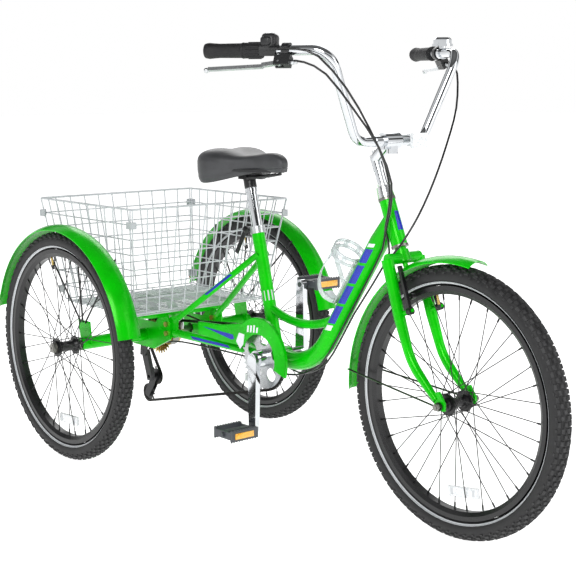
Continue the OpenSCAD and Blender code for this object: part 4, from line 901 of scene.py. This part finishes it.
# pedal reflectors, and rows of teeth on the edges of both plates, which grip a shoe
pedal = {
    "middle": 12 * mm,             # from the middle of the pedal's box to the middle of its plates
    "reflector": (2.4 * mm, 58 * mm, 15 * mm), "reflectorPlace": 37.6 * mm, "bevel": 0.9 * mm,
    "teeth": 10, "pitch": 8.4 * mm, "row": 33 * mm, "rise": 14.2 * mm,
    "tooth": (3.0 * mm, 3.4 * mm, 1.5 * mm),  # radius, height and radius at the top
}
for word in ("right", "left"):
    body = word + "_pedal"
    low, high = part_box("pedal_" + word)
    outward = 1 if high.y > 0 and low.y > 0 else -1
    middle = (low + high) / 2
    plates = middle.y + outward * pedal["middle"]
    bm = bmesh.new()
    for way in (-1, 1):
        place = Matrix.Translation(Vector((middle.x + way * pedal["reflectorPlace"], plates, middle.z)))
        block(bm, pedal["reflector"], place, pedal["bevel"], 2)
    finishPiece(word + "PedalReflectors", bm, amberPrism, body, 40)
    bm = bmesh.new()
    radius, height, tip = pedal["tooth"]
    for way in (-1, 1):
        for rise in (-1, 1):
            up = Matrix.Rotation(0 if rise > 0 else math.pi, 4, "X")
            for k in range(pedal["teeth"]):
                y = plates + (k - 4.5) * pedal["pitch"]
                at = Vector((middle.x + way * pedal["row"], y, middle.z + rise * pedal["rise"]))
                peg(bm, radius, height, Matrix.Translation(at) @ up, 4, 0, tip)
    finishPiece(word + "PedalTeeth", bm, pedalNylon, body, 30)
print("pedal reflectors made")

studio = {
    "floorSize": 30, "floorDrop": 0.0005, "floorColour": "#F4F4F4", "floorGlow": 0.9,
    "aim": (0, 0, 0.5),
    # name, place, size and power of each light
    "lights": [("keyLight", (2.4, -3.4, 3.0), (2.0, 2.0), 120),
               ("fillLight", (3.6, 1.6, 1.8), (2.0, 2.6), 36),
               ("backLight", (-2.8, 2.4, 2.8), (2.6, 2.0), 40)],
    # height and brightness of the surroundings
    "stops": [(0.0, 1.0), (0.19, 1.0), (0.25, 0.05), (0.42, 0.05),
              (0.5, 0.8), (0.62, 0.8), (0.7, 0.08), (1.0, 0.2)],
}


def studioFloor():
    bm = bmesh.new()
    bmesh.ops.create_grid(bm, x_segments=1, y_segments=1, size=studio["floorSize"])
    mesh = bpy.data.meshes.new("studioFloor")
    bm.to_mesh(mesh)
    bm.free()
    floor = bpy.data.objects.new("studioFloor", mesh)
    scene.collection.objects.link(floor)
    material, tree, shader, where = startMaterial("paleFloor")  # a matt white paper sweep
    shader.inputs["Base Color"].default_value = colour(studio["floorColour"])
    shader.inputs["Roughness"].default_value = 0.8
    shader.inputs["Emission Color"].default_value = colour("#FFFFFF")
    shader.inputs["Emission Strength"].default_value = studio["floorGlow"]
    mesh.materials.append(material)
    floor.location.z = -studio["floorDrop"]


def softLight(name, place, target, size, power):
    light = bpy.data.lights.new(name, "AREA")
    light.shape = "RECTANGLE"
    light.size, light.size_y = size
    light.energy = power
    lamp = bpy.data.objects.new(name, light)
    lamp.location = place
    lamp.rotation_mode = "QUATERNION"
    lamp.rotation_quaternion = (Vector(target) - Vector(place)).to_track_quat("-Z", "Y")
    scene.collection.objects.link(lamp)


def studioWorld():
    # bright all round near the level, with a darker band higher up that gives the chrome its lines
    world = bpy.data.worlds.new("studioWorld")
    scene.world = world
    world.use_nodes = True
    tree = world.node_tree
    where = add(tree, "ShaderNodeTexCoord").outputs["Generated"]
    height = add(tree, "ShaderNodeSeparateXYZ", {}, {"Vector": where}).outputs["Z"]
    ramp = add(tree, "ShaderNodeValToRGB", {}, {"Fac": height})
    stops = studio["stops"]
    elements = ramp.color_ramp.elements
    while len(elements) < len(stops):
        elements.new(0.5)
    for element, (at, level) in zip(elements, stops):
        element.position = at
        element.color = (level, level, level, 1)
    background = tree.nodes["Background"]
    tree.links.new(ramp.outputs["Color"], background.inputs["Color"])
    background.inputs["Strength"].default_value = 1.0


studioFloor()
studioWorld()
for name, place, size, power in studio["lights"]:
    softLight(name, place, studio["aim"], size, power)
scene.view_settings.view_transform = "Standard"
print("studio lit")
